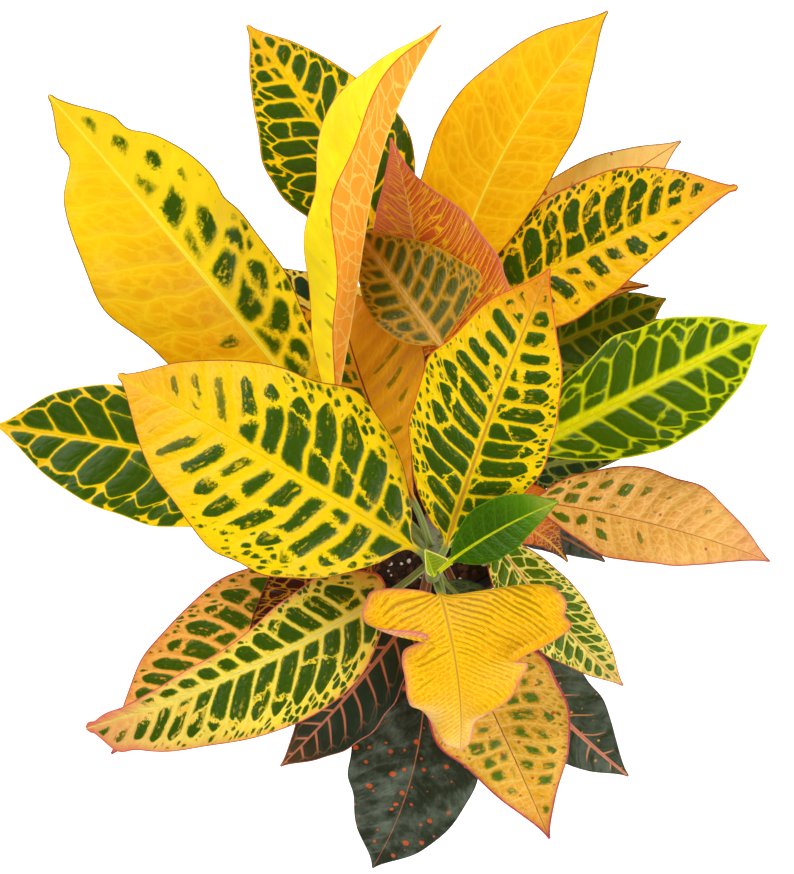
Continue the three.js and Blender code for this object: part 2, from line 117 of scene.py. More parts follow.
PLAIN_LEAF = dict(
    slot="leaf_green", ground="yellow", ground_tip=None, ground_right=None, green="leaf_green",
    shade="deep_green", vein="yellow", midrib="yellow", margin="red_brown", blush="orange",
    under="under_gold", petiole="under_green", speck="red", share=BARE, share_right=None, veins=13,
    slant=(0.15, 0.75), cell=2.2, vein_width=0.07, vein_strength=0.7, midrib_width=0.14,
    margin_width=0.075, blush_tip=0.4, blush_margin=0.0, specks=0.0, speck_size=0.12, net=0.35,
    marbling=0.6, quilt=0.8, net_length=1.0, outer_fill=0.0, bloom=0.0, wobble=0.025, stray=0.08,
    ruffle=0.0, lean=0.0, vein_reach=3.0, halo=0.75, net_scale=1.0, softness=1.0, nicks=(),
    tip_radius=0.0, relief=0.5, fineness=1.0, rolls=(), under_mix=0.75, roll=(0, 0), sway=0, sweep=0,
)

# Kinds of leaf that several of them are like
GOLD = dict(slot="leaf_gold", ground="rich_gold", vein="bright", midrib="#fff04a", quilt=0.4, relief=0.3)
SLATE = dict(
    slot="leaf_dark", ground="slate", green="slate", shade="blackish", vein="slate", margin="blackish",
    under="under_brown", blush_tip=0.0,
)
BROWN = dict(
    slot="leaf_brick", ground="maroon", halo=0.0, vein_strength=0.9, under="under_brown", blush_tip=0.0,
)
MOSS = dict(slot="leaf_dark", ground="moss", vein="moss", midrib="moss", under="under_green")
CREAM = dict(ground="cream", vein="cream", midrib="cream")
SHOOT = dict(
    ground="fresh_green", green="bright_green", shade="bright_green", midrib="lime",
    under="fresh_green", petiole="lime",
)

# The form of a leaf, in millimetres and degrees, as its solid has it. stem and height say where its
# petiole leaves, base and tip are the ends of the blade. bow bends the midrib to its left, arch lifts its
# middle. fold raises both halves, curl bends them further out. wave is the height, number and start of the
# margin's waves. left and right are the widths of the halves at equal steps.
FORM = ("stem", "height", "base", "tip", "bow", "arch", "fold", "curl", "wave", "left", "right")
PETIOLE_RADIUS = 1.8
PETIOLE_RISE = 0.5
TIP_WIDTH = 0.6
RIGHT_PHASE = 0.35
SLOPE_STEP = 0.01
ARCH_LENGTH = 1.03
LEAVES = {}


def grow(name, *form, like={}, **own):
    """Adds a leaf: its form in the order above, then what sets it apart from a plain leaf."""
    made = SimpleNamespace(**{**PLAIN_LEAF, **dict(zip(FORM, form)), **like, **own})
    made.base, made.tip = np.array(made.base, float), np.array(made.tip, float)
    made.number = len(LEAVES) + 1
    made.seed = made.number * 0.37
    made.length = math.dist(made.base, made.tip) * ARCH_LENGTH
    made.pitch = made.length / 10 / made.veins
    made.ground_tip = made.ground_tip or made.ground
    made.right_tip = made.ground_right or made.ground_tip
    made.ground_right = made.ground_right or made.ground
    made.share_right = made.share_right or made.share
    LEAVES[name] = made


grow("left_gold", "main", 246, (-50, 35, 266), (-187, 203, 345), -2, 10, 9, -14, (2.5, 3, 0.1),
     (27, 37, 47, 42, 25), (20, 29, 34, 33, 23), like=GOLD, ground_tip="yellow", ground_right="#fcd610",
     share=(0.6, -0.3, -0.5), share_right=(1.0, 0.85, 0.15), veins=12, cell=1.0, vein_width=0.1,
     vein_strength=0.5, blush_tip=0.2, net=0.25, marbling=0.9, wobble=0.05, softness=2.4,
     nicks=((1, 0.87, 0.035, 0.35), (-1, 0.84, 0.03, 0.18), (-1, 0.6, 0.03, 0.06)), tip_radius=1.5)
grow("back_left_green", "back", 238, (-24, 135, 262), (-96, 246, 300), -4, 8, 10, -10, (1.5, 3, 0.4),
     (22, 33, 36, 28, 16), (24, 36, 34, 26, 14), ground_tip="gold", margin="copper",
     share=(1.03, 1.0, 0.75), marbling=0.2, outer_fill=0.12, softness=1.4, tip_radius=1.5)
# Its back is an orange underside made lighter with painted glow, for light shining through the blade.
grow("back_folded", "main", 300, (-53, 51, 292), (-1, 226, 392), 9, 12, 38, 0, (2, 3, 0.2),
     (20, 29, 37, 38, 28), (14, 30, 36, 33, 24), like=GOLD, ground="lemon", vein="yellow", midrib="lemon",
     margin="tip_red", under="under_orange", share=(-0.2, -0.4, -0.6), veins=15, vein_strength=0.25,
     blush_tip=0.0, net=0.3, net_scale=0.5, under_mix=0.97, roll=(60, 82), sway=-3)
grow("back_right_gold", "back", 270, (5, 111, 270), (80, 244, 340), 11, 2, 10, -16, (1.2, 3, 0.6),
     (25, 33, 35, 29, 18), (17, 25, 27, 26, 15), like=GOLD, ground_tip="gold", share=(-0.7, -0.7, -0.7),
     veins=11, vein_width=0.11, vein_strength=0.42, midrib_width=0.07, blush_tip=0.15, net=0.15)
grow("back_brick", "back", 262, (-9, 80, 276), (-24, 184, 335), -5, 4, -8, 0, (1.5, 3, 0.5),
     (20, 24, 24, 18, 9), (40, 44, 36, 22, 6), slot="leaf_brick", ground="#d67448", ground_right="#cf6222",
     midrib="peach", margin="pink", blush="pink", under="pink_tan", veins=17, slant=(0.7, 1.1),
     vein_width=0.05, vein_strength=0.75, midrib_width=0.08, blush_margin=0.35, net=0.9, quilt=0.3,
     net_length=3.5, stray=0.3, halo=0.0, net_scale=0.8, roll=(12, 12))
grow("centre_olive", "back", 281, (1, 86, 298), (-43, 143, 318), 0, 16, 0, 0, (1, 3, 0.1),
     (14, 19, 19, 14, 8), (34, 33, 28, 20, 10), slot="leaf_olive", ground="#c88c0c", green="#6c6800",
     shade="#4e5000", vein="#cc9418", midrib="#d4a448", margin="amber", share=(0.9, 0.9, 0.8), veins=10,
     midrib_width=0.18, net=0.05, marbling=0.3, outer_fill=0.1, halo=0.5, softness=6.0)
grow("centre_amber", "main", 264, (-13, 8, 278), (-52, 117, 290), 4, 4, 6, 0, (1, 3, 0.3),
     (8, 14, 18, 16, 10), (9, 18, 30, 35, 26), slot="leaf_gold", ground="amber", vein="honey",
     midrib="red_brown", share=(0.9, 0.9, 0.5), share_right=(-0.3, -0.2, -0.1), veins=12, vein_strength=0.3,
     midrib_width=0.09, relief=0.3)
grow("front_left_large", "main", 312, (-12, -14, 332), (-155, 70, 338), -2, 14, 7, -14, (2, 3, 0.3),
     (33, 48, 50, 41, 26), (31, 47, 43, 37, 22), ground_tip="gold", share=(0.95, 0.62, -0.5),
     share_right=(0.98, 0.86, -0.35), slant=(0.0, 0.7), cell=1.9, midrib_width=0.17, blush_margin=0.12,
     marbling=0.85, softness=1.8, tip_radius=2)
grow("centre_upright", "main", 318, (3, -12, 330), (47, 115, 405), 2, 6, 12, -10, (1.5, 3, 0.1),
     (21, 32, 36, 31, 20), (20, 30, 31, 25, 13), ground_tip="gold", midrib="honey", margin="tip_red",
     blush="tip_red", share=(0.98, 0.85, 0.3), veins=15, slant=(0.6, 0.8), midrib_width=0.12,
     blush_tip=0.65, marbling=0.7, lean=-0.45, nicks=((1, 0.615, 0.05, -0.08),))
grow("top_small_green", "main", 331, (5, -19, 339), (54, 10, 368), 2, 2, 12, -10, (0.6, 2, 0.2),
     (9, 14, 15, 13, 8), (9, 12, 12, 9, 5), like=SHOOT, ground="glossy_green", ground_tip="fresh_green",
     vein="fresh_green", margin="fresh_green", blush="cream", veins=10, vein_width=0.05, vein_strength=0.3,
     midrib_width=0.09, blush_tip=0.3, net=0.08, quilt=0.25)
grow("bud", "main", 333, (-4, -25, 344), (-8, -12, 374), 0, 0, 32, 0, (0, 2, 0), (3, 4, 4, 3, 2),
     (4, 7, 9, 7, 4), like=SHOOT, green="fresh_green", vein="lime", margin="pale", veins=8,
     vein_strength=0.4, midrib_width=0.06, blush_tip=0.0, quilt=0.1, roll=(-20, -20))
grow("front_curly", "main", 322, (0, -36, 331), (11, -119, 285), 3, 26, 8, -20, (5, 3, 0.15),
     (51, 56, 57, 58, 60, 40, 30, 32, 30, 25, 15, 10, 7, 6, 5),
     (31, 38, 40, 34, 13, 23, 26, 26, 26, 24, 22, 19, 15, 11, 7), slot="leaf_gold", ground="#fca806",
     ground_tip="#fdb00a", green="#d8a004", shade="#b48a04", vein="bright", midrib="honey", margin="pink",
     blush="salmon", under="#f08c74", share=(0.38, -0.15, -0.6), veins=32, slant=(0.5, 0.9), cell=9,
     vein_width=0.04, midrib_width=0.09, margin_width=0.13, blush_tip=0.05, blush_margin=0.35, net=0.95,
     quilt=0.25, net_length=1.8, wobble=0.06, stray=0.25, ruffle=2.5, net_scale=0.7, softness=3.0,
     relief=0.2, fineness=1.6,
     rolls=((-1, 0.29, 0.05, 150), (1, 0.38, 0.04, 120), (1, 0.06, 0.05, -50), (-1, 0.1, 0.05, 40)),
     under_mix=0.9, sweep=20)
grow("front_peach", "main", 272, (9, -61, 280), (61, -176, 228), 1, 6, 8, -10, (1.5, 3, 0.6),
     (30, 38, 35, 27, 11), (27, 33, 27, 19, 9), slot="leaf_peach", ground="#dfa010", ground_tip="deep_gold",
     green="#667000", shade="leaf_green", vein="#f2ca60", midrib="red_brown", margin="magenta", blush="red",
     share=(0.65, 0.6, 0.1), share_right=(0.6, 0.55, 0.1), slant=(0.3, 0.5), cell=1.0, midrib_width=0.05,
     margin_width=0.15, blush_tip=0.25, blush_margin=0.4, specks=0.4, speck_size=0.17, net=0.5,
     marbling=1.0, lean=-0.7, halo=0.5, softness=3.2)
grow("front_spotted", "main", 202, (-6, -76, 215), (-35, -207, 160), 9, 8, 10, -10, (1.5, 3, 0.2),
     (26, 34, 36, 30, 20), (26, 34, 36, 30, 20), like=SLATE, midrib="rose", petiole="under_brown",
     speck="#e0622a", vein_strength=0.3, midrib_width=0.06, specks=0.85, speck_size=0.22, net=0.2,
     quilt=0.7, bloom=0.6, halo=0.0, nicks=((1, 0.08, 0.07, -0.7), (-1, 0.08, 0.07, -0.7)))
grow("front_pink_veined", "main", 226, (-13, -54, 242), (-85, -141, 205), 2, 6, 8, -8, (1, 3, 0.4),
     (14, 20, 23, 20, 12), (16, 22, 22, 17, 8), like=SLATE, ground="#2e3e2c", ground_tip="slate",
     vein="salmon", midrib="salmon", margin="pink", petiole="under_brown", veins=10, slant=(0.6, 0.9),
     vein_width=0.16, vein_strength=0.95, blush_tip=0.1, net=0.0, bloom=0.1, vein_reach=0.9, halo=0.0,
     nicks=((1, 0.08, 0.06, -0.8),))
grow("lower_left_large", "main", 288, (-24, -38, 296), (-181, -110, 272), 5, 8, 8, -10, (2, 3, 0.5),
     (26, 35, 34, 29, 21), (25, 22, 15, 11, 6), ground_tip="peach", vein="pale", midrib="pale",
     margin="#d0504c", blush="#e0705c", share=(0.97, 0.88, 0.4), share_right=(0.97, 0.85, 0.4), veins=15,
     slant=(0.5, 0.9), cell=2.0, midrib_width=0.12, margin_width=0.08, blush_tip=0.6, blush_margin=0.4,
     marbling=0.8, softness=1.4, nicks=((1, 0.95, 0.05, -1.0), (-1, 0.95, 0.05, -1.0)), tip_radius=3.0,
     sweep=12)
grow("far_left_green", "main", 232, (-51, 14, 252), (-230, 46, 262), -2, 8, 8, -10, (1.5, 3, 0.2),
     (22, 34, 38, 34, 22), (20, 29, 31, 30, 22), ground_tip="gold", margin="yellow", share=(1.1, 1.1, 1.03),
     veins=11, cell=2.6, vein_width=0.05, midrib_width=0.16, blush_tip=0.15, marbling=0.1, outer_fill=0.1)
grow("lower_left_peach", "main", 220, (-54, -28, 238), (-177, -133, 212), -3, 6, 8, -10, (1.5, 3, 0.1),
     (18, 26, 28, 24, 12), (22, 31, 31, 27, 16), slot="leaf_peach", ground="#ea9c34", ground_tip="orange",
     vein="peach", midrib="red", margin="magenta", blush="pink", share=(0.85, 0.8, 0.55),
     share_right=(0.85, 0.8, 0.5), cell=1.4, midrib_width=0.06, margin_width=0.09, blush_tip=0.5,
     blush_margin=0.3, marbling=0.8, softness=1.5)
grow("lower_left_maroon", "main", 248, (-27, -18, 262), (-101, -68, 240), -4, 6, 12, -10, (1, 2, 0.1),
     (12, 18, 20, 16, 9), (12, 19, 21, 17, 9), like=BROWN, green="maroon", shade="maroon", vein="deep_gold",
     midrib="orange", veins=9, slant=(0.5, 0.9), vein_width=0.02, midrib_width=0.08, net=0.5, net_scale=0.6)
grow("right_lime", "back", 240, (44, 33, 262), (164, 96, 300), 0, 8, 10, -14, (1.5, 3, 0.3),
     (17, 24, 30, 27, 17), (17, 28, 32, 29, 19), ground="lime", green="#3c6400", shade="#446400",
     vein="lime", midrib="#e6e200", margin="lime", blush="lime", under="under_green",
     share=(1.04, 1.04, 0.9), veins=10, slant=(0.4, 0.7), cell=4, vein_width=0.1, midrib_width=0.34,
     margin_width=0.1, marbling=0.15, outer_fill=0.13, softness=2.4)
grow("right_golden_green", "back", 262, (15, 100, 266), (145, 162, 325), 4, 6, 8, -10, (1.5, 3, 0.1),
     (20, 30, 33, 31, 19), (22, 27, 24, 17, 8), ground="gold", green="deep_green", margin="#b8442a",
     share=(0.97, 0.93, 0.65), share_right=(0.6, 0.45, 0.05), veins=14, slant=(0.05, 0.6), cell=1.5,
     margin_width=0.1, blush_tip=0.7, blush_margin=0.15, marbling=1.0, softness=1.6, tip_radius=2)
grow("right_pale_peach", "back", 252, (17, 112, 250), (121, 188, 300), 3, 4, 8, -8, (1, 2, 0.2),
     (12, 19, 21, 19, 11), (12, 18, 20, 18, 12), slot="leaf_peach", ground="#fadc80", ground_tip="#f6d078",
     vein="pale", midrib="red_brown", blush="pink", share=(-0.4, -0.4, -0.5), vein_strength=0.5,
     midrib_width=0.05, blush_tip=0.3, specks=0.9, speck_size=0.2)
grow("right_pink", "back", 236, (49, 112, 255), (107, 117, 284), 0, 2, 12, 0, (0.5, 2, 0.1),
     (8, 11, 11, 8, 4), (5, 6, 5, 4, 2), slot="leaf_peach", ground="salmon", ground_tip="rose",
     midrib="red_brown", veins=9)
grow("right_deep_green", "back", 222, (45, 80, 235), (119, 112, 262), 1, 3, 10, -8, (0.8, 2, 0.3),
     (12, 18, 19, 15, 9), (12, 18, 20, 17, 12), like=MOSS, margin="leaf_green", share=(1, 1, 1), veins=9,
     cell=3, vein_width=0.03)
grow("right_olive", "back", 206, (43, 56, 220), (155, 93, 255), 4, 2, 8, -8, (0.8, 2, 0.1),
     (12, 19, 22, 19, 13), (12, 18, 20, 17, 10), like=MOSS, slot="leaf_olive", margin="moss",
     share=(1, 0.95, 0.8))
grow("right_tan", "main", 252, (48, 7, 262), (180, -27, 225), 4, 6, 8, -10, (1.5, 3, 0.4),
     (18, 26, 28, 24, 14), (14, 22, 21, 17, 8), slot="leaf_peach", ground="#e6a03c", ground_tip="#eaa850",
     green="olive", shade="leaf_green", vein="tan_line", midrib="copper", margin="red", blush="pink",
     share=(0.95, 0.1, -0.7), share_right=(0.9, 0.05, -0.7), cell=0.8, vein_strength=0.75,
     midrib_width=0.05, margin_width=0.1, blush_tip=0.35, blush_margin=0.2, specks=0.15, speck_size=0.16,
     net=0.9, marbling=0.5, halo=0.4, relief=0.4)
grow("right_teal", "back", 198, (24, 17, 218), (105, 30, 215), 2, 4, 8, -8, (0.8, 2, 0.2),
     (10, 16, 17, 14, 8), (10, 13, 12, 9, 5), slot="leaf_dark", ground="under_green", green="deep_green",
     shade="teal_green", vein="under_green", midrib="under_green", margin="teal_green", under="under_green",
     share=(1, 1, 1), veins=9, cell=3)
grow("right_rolled_brown", "main", 236, (13, -12, 244), (72, -28, 214), 12, 4, 4, -10, (0.8, 2, 0.1),
     (10, 17, 25, 20, 6), (8, 11, 10, 7, 4), like=BROWN, ground="brick", ground_tip="maroon", vein="honey",
     midrib="honey", margin="maroon", veins=10, vein_width=0.035, net=0.8)
grow("right_dark_grey", "main", 222, (23, 1, 226), (94, -29, 198), 4, 4, 8, -8, (0.8, 2, 0.3),
     (9, 14, 15, 12, 7), (8, 12, 12, 9, 5), like=SLATE, midrib="under_brown", veins=9)
grow("lower_right_cream", "main", 262, (26, -8, 268), (99, -92, 240), -3, 6, 8, -10, (1.2, 3, 0.2),
     (11, 16, 18, 15, 10), (13, 18, 19, 16, 9), like=CREAM, green="bright_green", shade="leaf_green",
     midrib="pink_tan", margin="red", blush="pink", share=(1.02, 0.95, 0.8), share_right=(1.02, 1.0, 0.7),
     veins=15, slant=(0.5, 0.9), cell=1.0, midrib_width=0.07)
grow("lower_right_dark", "main", 210, (24, -63, 222), (108, -149, 190), -3, 5, 8, -8, (1, 3, 0.4),
     (14, 22, 25, 22, 11), (14, 21, 23, 20, 12), like=SLATE, ground="#333f26", vein="#e0925a",
     midrib="salmon", margin="maroon", petiole="under_brown", speck="orange", veins=8, slant=(0.6, 0.9),
     vein_width=0.11, vein_strength=0.8, midrib_width=0.24, specks=0.5, speck_size=0.16, net=0.0, bloom=0.3,
     vein_reach=0.75, halo=0.0)
grow("inner_cream_veined", "back", 228, (-22, 84, 240), (-100, 131, 258), 2, 4, 8, -8, (0.8, 2, 0.1),
     (12, 18, 19, 15, 8), (12, 18, 19, 15, 8), like=CREAM, slot="leaf_dark", green="deep_green",
     shade="teal_green", margin="deep_green", share=(0.99, 0.99, 0.9), veins=9, slant=(0.4, 0.8), cell=3)
grow("inner_bronze", "back", 222, (-49, 49, 245), (-77, 111, 272), 0, 2, 8, -8, (0.6, 2, 0.2),
     (7, 11, 12, 10, 6), (8, 13, 15, 14, 9), slot="leaf_olive", ground="honey", ground_tip="amber",
     midrib="amber", share=(0.75, 0.7, 0.5), veins=9)
grow("inner_dark_green", "main", 240, (4, -36, 248), (34, -68, 240), 0, 2, 8, -8, (0.5, 2, 0.1),
     (9, 13, 13, 11, 6), (7, 10, 11, 9, 5), slot="leaf_dark", ground="teal_green", green="teal_green",
     shade="blackish", vein="under_green", midrib="under_green", margin="teal_green", under="under_green",
     veins=8, vein_width=0.03, vein_strength=0.35, blush_tip=0.0)
grow("inner_young", "back", 255, (-6, 77, 264), (-44, 119, 268), 0, 4, 10, -8, (0.5, 2, 0.3),
     (7, 9, 9, 7, 4), (13, 15, 12, 9, 5), like=CREAM, green="teal_green", margin="cream",
     share=(0.98, 0.98, 0.9), veins=8, cell=3, nicks=((1, 0.1, 0.1, -0.7), (-1, 0.05, 0.06, -1.6)))

# Places and sections of the fine leaves, in millimetres
PETIOLE_ROWS = 16
PETIOLE_SINK = 2.0
HEIGHT_STEP = 0.002
ROWS_PER_MM = 0.6
MIDRIB_COLUMNS = (0.45, 0.9, 1.5, 2.3, 3.4)
MIDRIB_SHARE = 0.5
MARGIN_INSET = 0.5
COLUMN_PITCH = 2.3
BLADE_THICKNESS = 0.5
MARGIN_THINNING = 0.55
KEEL_BASE = 1.5
KEEL_TIP = 0.2
SIDE_RIB = 0.18
BASE_BLEND = 0.07
BAKE_STRIP = 0.02


def smoothstep(low, high, x):
    """Rises smoothly from 0 at low to 1 at high."""
    x = np.clip((x - low) / (high - low), 0, 1)
    return x * x * (3 - 2 * x)


def hump(x, middle, reach):
    """1 in the middle, fading on both sides within about twice the reach."""
    return np.exp(-((x - middle) / reach)**2)


def mix(low, high, share):
    return low + (high - low) * share


def unit(v):
    return v / np.linalg.norm(v, axis=-1, keepdims=True)


def spline_point(points, share):
    """Point of the centripetal curve through the points, from 0 at the first to 1 at the last."""
    p = np.array(points, float)
    x = share * (len(p) - 1)
    i = min(int(x), len(p) - 2)
    f = x - i
    four = np.array([2 * p[0] - p[1], *p, 2 * p[-1] - p[-2]])[i:i + 4]
    before, here, there, after = four
    d0, d1, d2 = np.linalg.norm(np.diff(four, axis=0), axis=1)**0.5
    m1 = ((here - before) / d0 - (there - before) / (d0 + d1) + (there - here) / d1) * d1
    m2 = ((there - here) / d1 - (after - here) / (d1 + d2) + (after - there) / d2) * d1
    bend = -3 * here + 3 * there - 2 * m1 - m2
    return here + m1 * f + bend * f * f + (2 * here - 2 * there + m1 + m2) * f**3


def spline_direction(points, share):
    low, high = max(share - 0.001, 0), min(share + 0.001, 1)
    return unit(spline_point(points, high) - spline_point(points, low))


def half_width(widths, t):
    """Smooth curve through a half's widths, from the petiole to the tip."""
    every = [PETIOLE_RADIUS, *widths, TIP_WIDTH]
    x = t * (len(every) - 1)
    i = np.minimum(x.astype(int), len(every) - 2)
    f = x - i
    padded = np.array([2 * every[0] - every[1], *every, every[-1]], float)
    p0, p1, p2, p3 = (padded[i + k] for k in range(4))
    m1, m2 = (p2 - p0) / 2, (p3 - p1) / 2
    width = ((2 * f**3 - 3 * f**2 + 1) * p1 + (f**3 - 2 * f**2 + f) * m1
             + (3 * f**2 - 2 * f**3) * p2 + (f**3 - f**2) * m2)
    return np.maximum(TIP_WIDTH, width)


def midrib(leaf, t):
    """Points of the blade's midrib, from 0 at its base to 1 at its tip."""
    run = leaf.tip - leaf.base
    left = unit(np.array([-run[1], run[0], 0]))
    t = np.asarray(t)[..., None]
    bend = 4 * t * (1 - t)
    aside = leaf.bow * bend + leaf.sway * np.sin(2 * math.pi * t)
    return leaf.base + run * t + left * aside + UP * leaf.arch * bend


def midrib_direction(leaf, t):
    return unit(midrib(leaf, t + SLOPE_STEP) - midrib(leaf, t - SLOPE_STEP))


def frames(direction, roll):
    """Directions to the left of a path and out of the upper face, rolled about the path by degrees."""
    level = unit(np.cross(UP, direction))
    turn = -np.radians(roll)[..., None]
    left = level * np.cos(turn) + np.cross(direction, level) * np.sin(turn)
    return left, np.cross(direction, left)


def petiole_curve(leaf, t):
    """Places along the petiole, from 0 inside its stem to 1 at the blade's base."""
    stem = STEMS[leaf.stem]
    share = 0
    while spline_point(stem.points, share)[2] < leaf.height:
        share += HEIGHT_STEP
    axis = spline_point(stem.points, share)
    away = unit((leaf.base - axis) * (1, 1, 0))
    start = axis + away * (mix(stem.foot, stem.top, share) - PETIOLE_SINK)
    reach = np.linalg.norm(leaf.base - start) / 3
    b = start + unit(away + UP * PETIOLE_RISE) * reach
    c = leaf.base - midrib_direction(leaf, 0.0) * reach
    t = t[:, None]
    return start * (1 - t)**3 + 3 * b * t * (1 - t)**2 + 3 * c * t * t * (1 - t) + leaf.base * t**3


def wander(rng, count, *sizes):
    """A smooth random field: the sum of a few waves over the given coordinates, from about -1 to 1."""
    waves = [([rng.uniform(-1, 1) * 2 * math.pi / size for size in sizes], rng.uniform(0, 2 * math.pi))
             for _ in range(count)]

    def field(*coordinates):
        return sum(np.sin(sum(rate * c for rate, c in zip(rates, coordinates)) + start)
                   for rates, start in waves) / math.sqrt(count)
    return field


def margin_rolls(rolls, t, u, signed):
    """How far the blade turns, draws in and rises where stretches of its margin roll over."""
    turn = sum((math.radians(degrees) * hump(t, place, reach) * smoothstep(0.7, 1.0, u * half)
                for half, place, reach, degrees in rolls), np.zeros_like(u))
    between = (turn[:, 1:] + turn[:, :-1]) / 2
    run = np.abs(np.diff(signed, axis=1))
    middle = u.shape[1] // 2

    def outward(steps):
        """Sums of the steps from the midrib to each margin."""
        before = np.cumsum(steps[:, :middle][:, ::-1], axis=1)[:, ::-1]
        return np.concatenate([before, np.zeros((len(u), 1)), np.cumsum(steps[:, middle:], axis=1)], axis=1)
    return turn, outward(run * (np.cos(between) - 1)), outward(run * np.sin(between))


def rounded_tip(half, to_tip, radius):
    """The half's widths with a round end of this radius in place of a sharp one."""
    end = np.sqrt(np.maximum(0, 2 * radius * to_tip - to_tip**2))
    return np.maximum(half, np.where(to_tip < radius, end, radius * hump(to_tip, radius, 1.6 * radius)))


def half_turn(columns):
    """Angles of the columns round one half of a petiole."""
    return (np.arange(columns) + 0.5) / columns * math.pi


def along(directions, amounts):
    """Each row's direction times the amounts in that row."""
    return directions[:, None] * amounts[..., None]


def column_places(half, count):
    """Distances from the midrib of one half's columns, row by row."""
    half = half[:, None]
    inner = np.array(MIDRIB_COLUMNS) * np.minimum(1, MIDRIB_SHARE * half / MIDRIB_COLUMNS[-1])
    edge = half - np.minimum(MARGIN_INSET, 0.15 * half)
    outer = mix(inner[:, -1:], edge, np.linspace(0, 1, count + 1)[1:])
    return np.concatenate([inner, outer, half], axis=1)


def blade(leaf, rng):
    """Rows of the blade: places of its two faces and what the pattern needs at each of them. t and tt run
    from 0 at the base to 1 at the tip, u from -1 at the right margin to 1 at the left one, and a is the
    distance from the midrib."""
    rows = int(leaf.length * ROWS_PER_MM * leaf.fineness)
    t = np.linspace(0, 1, rows + 1)[1:]
    halves = {side: half_width(widths, t) * (1 + leaf.wobble * np.sin(math.pi * t) * wander(rng, 4, 0.16)(t))
              for side, widths in ((1, leaf.left), (-1, leaf.right))}
    for side, place, reach, depth in leaf.nicks:
        halves[side] = halves[side] * (1 - depth * hump(t, place, reach))
    if leaf.tip_radius:
        halves = {side: rounded_tip(half, (1 - t) * leaf.length, leaf.tip_radius)
                  for side, half in halves.items()}
    widest = max(halves[1].max(), halves[-1].max())
    outer = max(5, int((widest - MIDRIB_COLUMNS[-1]) / COLUMN_PITCH * leaf.fineness))
    signed = np.concatenate([column_places(halves[1], outer)[:, ::-1], np.zeros((rows, 1)),
                             -column_places(halves[-1], outer)], axis=1)
    half = np.where(signed > 0, halves[1][:, None], halves[-1][:, None])
    u, a, side = signed / half, np.abs(signed), np.sign(signed)
    tt = np.broadcast_to(t[:, None], u.shape)
    squared, swell = u * u, np.sin(math.pi * tt)
    flat = tt * leaf.length / 10, signed / 10

    # Side veins are at the whole steps, with the halves set half a step apart
    stray = wander(rng, 5, 4.0, 2.2)(*flat)
    slant = mix(*leaf.slant, tt) + np.where(side < 0, leaf.lean, 0)
    forward = slant * a + 0.15 * a * a / max(*leaf.left, *leaf.right)
    steps = leaf.veins * (tt - forward / leaf.length) + leaf.stray * stray + 0.25 * (1 + side)
    inside = np.clip(a / 4, 0, 1) * smoothstep(0, 0.25, 1 - np.abs(u)) * smoothstep(0, 0.1, tt)
    swollen = (0.5 - 0.5 * np.cos(2 * math.pi * steps))**0.6 - 0.6

    direction = midrib_direction(leaf, t)
    left, out = frames(direction, mix(*leaf.roll, t))
    slope = np.radians(leaf.fold + leaf.curl * np.abs(u) / 2)
    height, count, start = leaf.wave
    lift = a * np.sin(slope)
    waves = count * tt + start + np.where(u < 0, RIGHT_PHASE, 0)
    lift += height * squared * swell * np.sin(2 * math.pi * waves)
    lift += leaf.quilt * swollen * inside * smoothstep(1.0, 0.85, tt)
    lift += wander(rng, 4, 5.0, 3.0)(*flat) * squared * swell
    lift += leaf.ruffle * np.abs(u)**3 * swell * wander(rng, 4, 0.11, 1.4)(tt, u)
    turn, draw, rise = margin_rolls(leaf.rolls, tt, u, signed)
    sweep = np.where(u < 0, leaf.sweep, 0) * squared * (1 - tt)**2
    spine = midrib(leaf, t)[:, None]
    centre = (spine - along(direction, sweep) + along(left, side * (a * np.cos(slope) + draw))
              + along(out, lift + rise))
    tilt = slope + turn
    normal = along(out, np.cos(tilt)) - along(left, side * np.sin(tilt))

    keel = mix(KEEL_BASE, KEEL_TIP, t**0.7)[:, None]
    rib = keel * hump(a, 0, 0.75 * keel + 0.15)
    thick = BLADE_THICKNESS / 2 * np.where(np.abs(u) > 0.999, MARGIN_THINNING, 1.0)
    side_ribs = SIDE_RIB * hump(steps, np.round(steps), 0.7 * leaf.veins / leaf.length) * inside
    top = centre + normal * (thick + 0.22 * rib)[..., None]
    bottom = centre - normal * (thick + 0.8 * rib + side_ribs)[..., None]

    # The first rows grow out of the petiole's round section
    ease = smoothstep(0, BASE_BLEND, t)[:, None, None]
    angle = half_turn(u.shape[1])[None]
    ring, round_rise = along(left, PETIOLE_RADIUS * np.cos(angle)), along(out, PETIOLE_RADIUS * np.sin(angle))
    return dict(
        top=mix(spine + ring + round_rise, top, ease),
        bottom=mix(spine + ring - round_rise, bottom, ease),
        t=tt, u=u, a=a, steps=steps, room=half - a, along=tt * leaf.length,
    )


def petiole(leaf, columns):
    """Rings of the petiole, from inside the stem to just before the blade, thicker at its foot."""
    t = np.linspace(0, 1, PETIOLE_ROWS + 1)
    centre = petiole_curve(leaf, t)
    left, out = frames(unit(np.gradient(centre, axis=0)), leaf.roll[0] * t)
    angle = half_turn(columns)[None]
    radius = PETIOLE_RADIUS * (1 + 0.35 * np.exp(-t * 12) + 0.12 * t * (1 - t))[:, None]
    groove = 1 - 0.22 * hump(angle, math.pi / 2, 0.35)
    side = centre[:, None] + along(left, radius * np.cos(angle))
    rise = radius * np.sin(angle)
    back = np.linalg.norm(np.diff(centre, axis=0), axis=1).sum() * (t - 1)
    fields = dict(t=0.3 * (t - 1)[:, None], u=np.cos(angle), a=PETIOLE_RADIUS * np.abs(np.cos(angle)),
                  steps=0.0, room=5.0, along=back[:, None])
    return dict(top=side + along(out, rise * groove), bottom=side - along(out, rise),
                **{key: np.broadcast_to(value, (len(t), columns)) for key, value in fields.items()})


